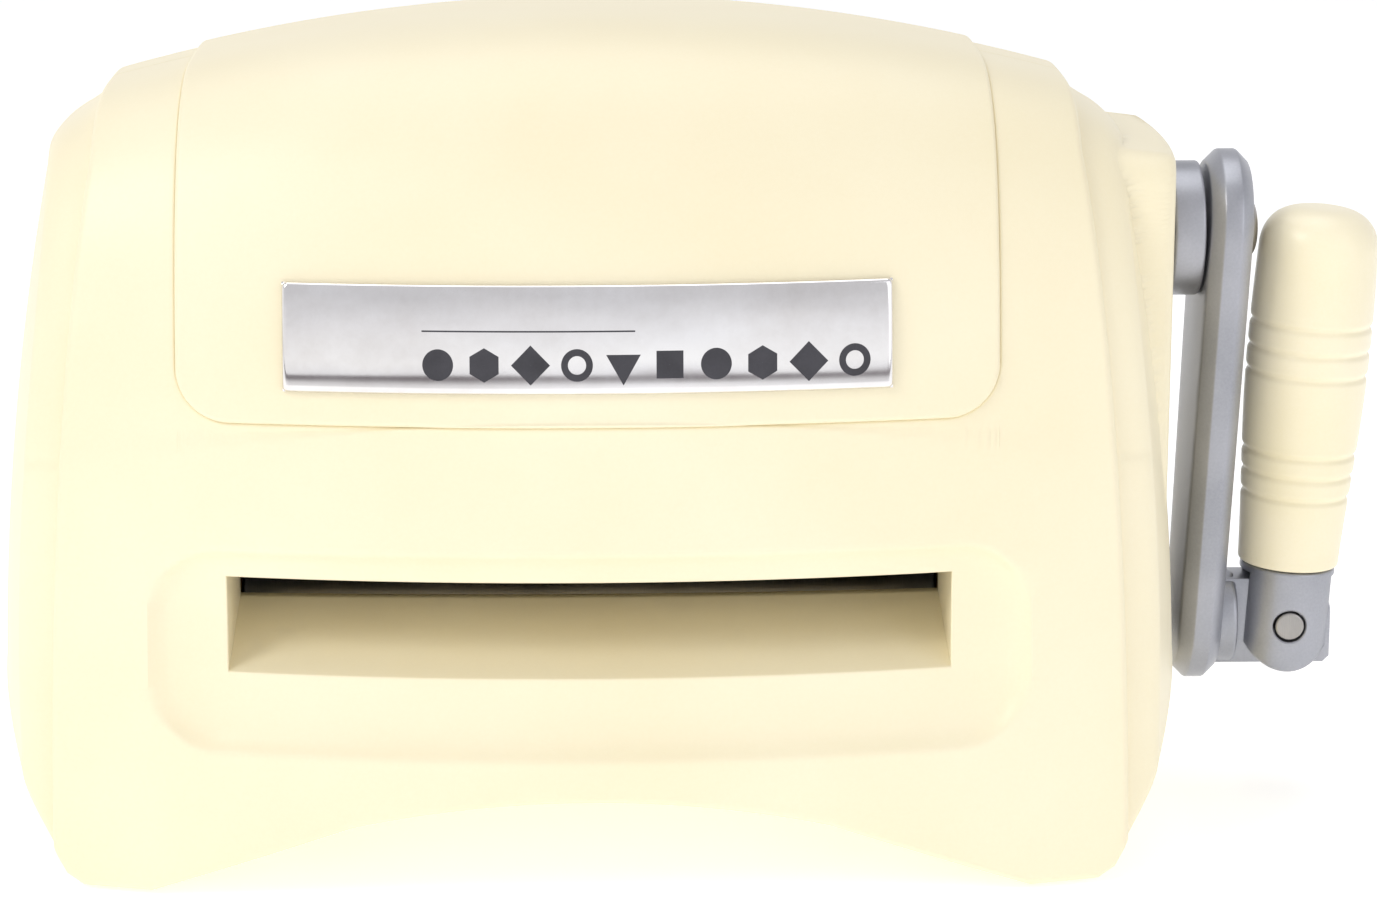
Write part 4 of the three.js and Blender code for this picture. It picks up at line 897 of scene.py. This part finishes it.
paint(badge(), chrome)
nothing = lambda t: 0.02 + 0 * t
SHAPES = (("circle", nothing, polygon(48, 3.4)), ("hexagon", nothing, polygon(6, 3.7)),
          ("square", nothing, polygon(4, 4.3, np.pi / 4)), ("ring", polygon(48, 2.0), polygon(48, 3.5)),
          ("triangle", nothing, polygon(3, 4.4, np.pi / 2)), ("diamond", nothing, polygon(4, 4.2)))
for i, x in enumerate(np.linspace(-33, 59, 10)):
    label, inner, outer = SHAPES[i % len(SHAPES)]
    paint(printed_shape("ink_%s_%d" % (label, i + 1), x, BADGE_LOW + 6.4, inner, outer), printed_ink)
paint(printed_bar("ink_rule", -36.5, 10.5, BADGE_LOW + 13.6, 0.35), printed_ink)

paint(roller("upper_roller_turned", "upper_roller", "upper_roller_set"), turned_steel)
paint(roller("lower_roller_turned", "lower_roller", "lower_roller_set"), turned_steel)
paint(hub(), painted_casting)
paint(crank_arm(), painted_casting)
paint(arm_screw(), turned_steel)
paint(handle_fork(), painted_casting)
paint(hinge_pin(), turned_steel)
paint(grip(), grip_abs)

for sub in frame["record"]["subparts"]:
    paint(frame["nodes"][sub["node"]], FINISHES[sub["material_slot"]])

# ------------------------------------------------------------------ floor, light and camera


def floor():
    """A wide flat table just under the feet, white near the machine, with painted shade far in front and a
    painted glow.
    """
    size = 6.0
    mesh = bpy.data.meshes.new("table")
    mesh.from_pydata([(-size, -size, 0), (size, -size, 0), (size, size, 0), (-size, size, 0)], [],
                     [(0, 1, 2, 3)])
    table = bpy.data.objects.new("table", mesh)
    bpy.context.scene.collection.objects.link(table)
    paint(table, table_painted_shade_and_glow)
    tree = table_painted_shade_and_glow.node_tree
    spot = add(tree, "ShaderNodeTexCoord").outputs["Object"]
    away = add(tree, "ShaderNodeSeparateXYZ", Vector=spot).outputs["Y"]
    wave = add(tree, "ShaderNodeTexNoise", Vector=spot, Scale=1.1, Detail=1.0).outputs["Fac"]
    # Painted shade: the table's colour falls to grey far in front of the machine, in waves, standing in for
    # shade away from the lamps.
    shade = colour_ramp(tree, times_plus(tree, times_plus(tree, wave, 1.6, away), 0.5, 1.15),
                        ((0.0, "6f676a"), (0.85, "ffffff")))
    shader = tree.nodes["Principled BSDF"]
    # Painted light: the table glows with its own shaded colour and lights the machine's underside, though it is
    # no lamp.
    shader.inputs["Emission Strength"].default_value = 0.36
    for socket in ("Base Color", "Emission Color"):
        tree.links.new(shade, shader.inputs[socket])


def softbox(name, place, size, power, colour):
    """A square area light that looks at the middle of the machine."""
    light = bpy.data.lights.new(name, "AREA")
    light.shape = "SQUARE"
    light.size = size
    light.energy = power
    light.color = linear(colour)[:3]
    obj = bpy.data.objects.new(name, light)
    obj.location = place
    obj.rotation_euler = (Vector((0, 0, 0.08)) - Vector(place)).to_track_quat("-Z", "Y").to_euler()
    bpy.context.scene.collection.objects.link(obj)
    return obj


def studio():
    """Pale surroundings and four soft lights: upper left, right, front and above.

    The surroundings are grey at the horizon and white over it, with waves, and are brighter as mirrored
    in gloss than as they light the object, so that the chrome shows a bright half and a grey one.
    """
    world = bpy.data.worlds.new("studio")
    world.use_nodes = True
    tree = world.node_tree
    tree.nodes.clear()
    ray = add(tree, "ShaderNodeTexCoord").outputs["Generated"]
    height = add(tree, "ShaderNodeSeparateXYZ", Vector=ray).outputs["Z"]
    folds = add(tree, "ShaderNodeTexNoise", Vector=ray, Scale=5.0, Detail=2.0).outputs["Fac"]
    colour = colour_ramp(tree, times_plus(tree, folds, 0.2, height),
                         ((0.0, "a89c99"), (0.05, "b4b0b2"), (0.09, "f4f4f6"), (0.14, "ffffff"),
                          (0.3, "f2f2f4"), (0.5, "d2d2d5")))
    mirrored = add(tree, "ShaderNodeLightPath").outputs["Is Glossy Ray"]
    sky = add(tree, "ShaderNodeBackground", Color=colour, Strength=times_plus(tree, mirrored, 0.43, 0.7))
    add(tree, "ShaderNodeOutputWorld", Surface=sky.outputs[0])
    bpy.context.scene.world = world
    softbox("key", (-1.3, -1.0, 1.4), 0.8, 12.5, "fffdf6")
    softbox("fill", (1.4, -1.3, 0.8), 1.4, 5.2, "fbfbff")
    softbox("front", (-0.5, -2.4, 0.5), 1.8, 5.5, "ffffff").visible_glossy = False
    softbox("top", (0.0, 0.3, 1.8), 1.4, 9, "ffffff")


def camera():
    """A long lens in front of the machine, a little above it, with a slight roll."""
    lens = bpy.data.cameras.new("camera")
    obj = bpy.data.objects.new("camera", lens)
    bpy.context.scene.collection.objects.link(obj)
    lens.sensor_width = SENSOR
    lens.lens = SENSOR * CAMERA["focal"] / FRAME_WIDTH
    lens.shift_x = (FRAME_WIDTH / 2 - CAMERA["centre"]) / FRAME_WIDTH
    lens.clip_end = 50
    down, roll = math.radians(CAMERA["down"]), math.radians(CAMERA["roll"])
    turn = Matrix.Rotation(math.pi / 2 - down, 4, "X") @ Matrix.Rotation(roll, 4, "Z")
    x, y, z = CAMERA["at"]
    obj.matrix_world = Matrix.Translation(((x + CENTRE_X) / 1000, y / 1000, z / 1000)) @ turn
    bpy.context.scene.camera = obj


bpy.context.scene.view_settings.view_transform = "Standard"
floor()
studio()
camera()
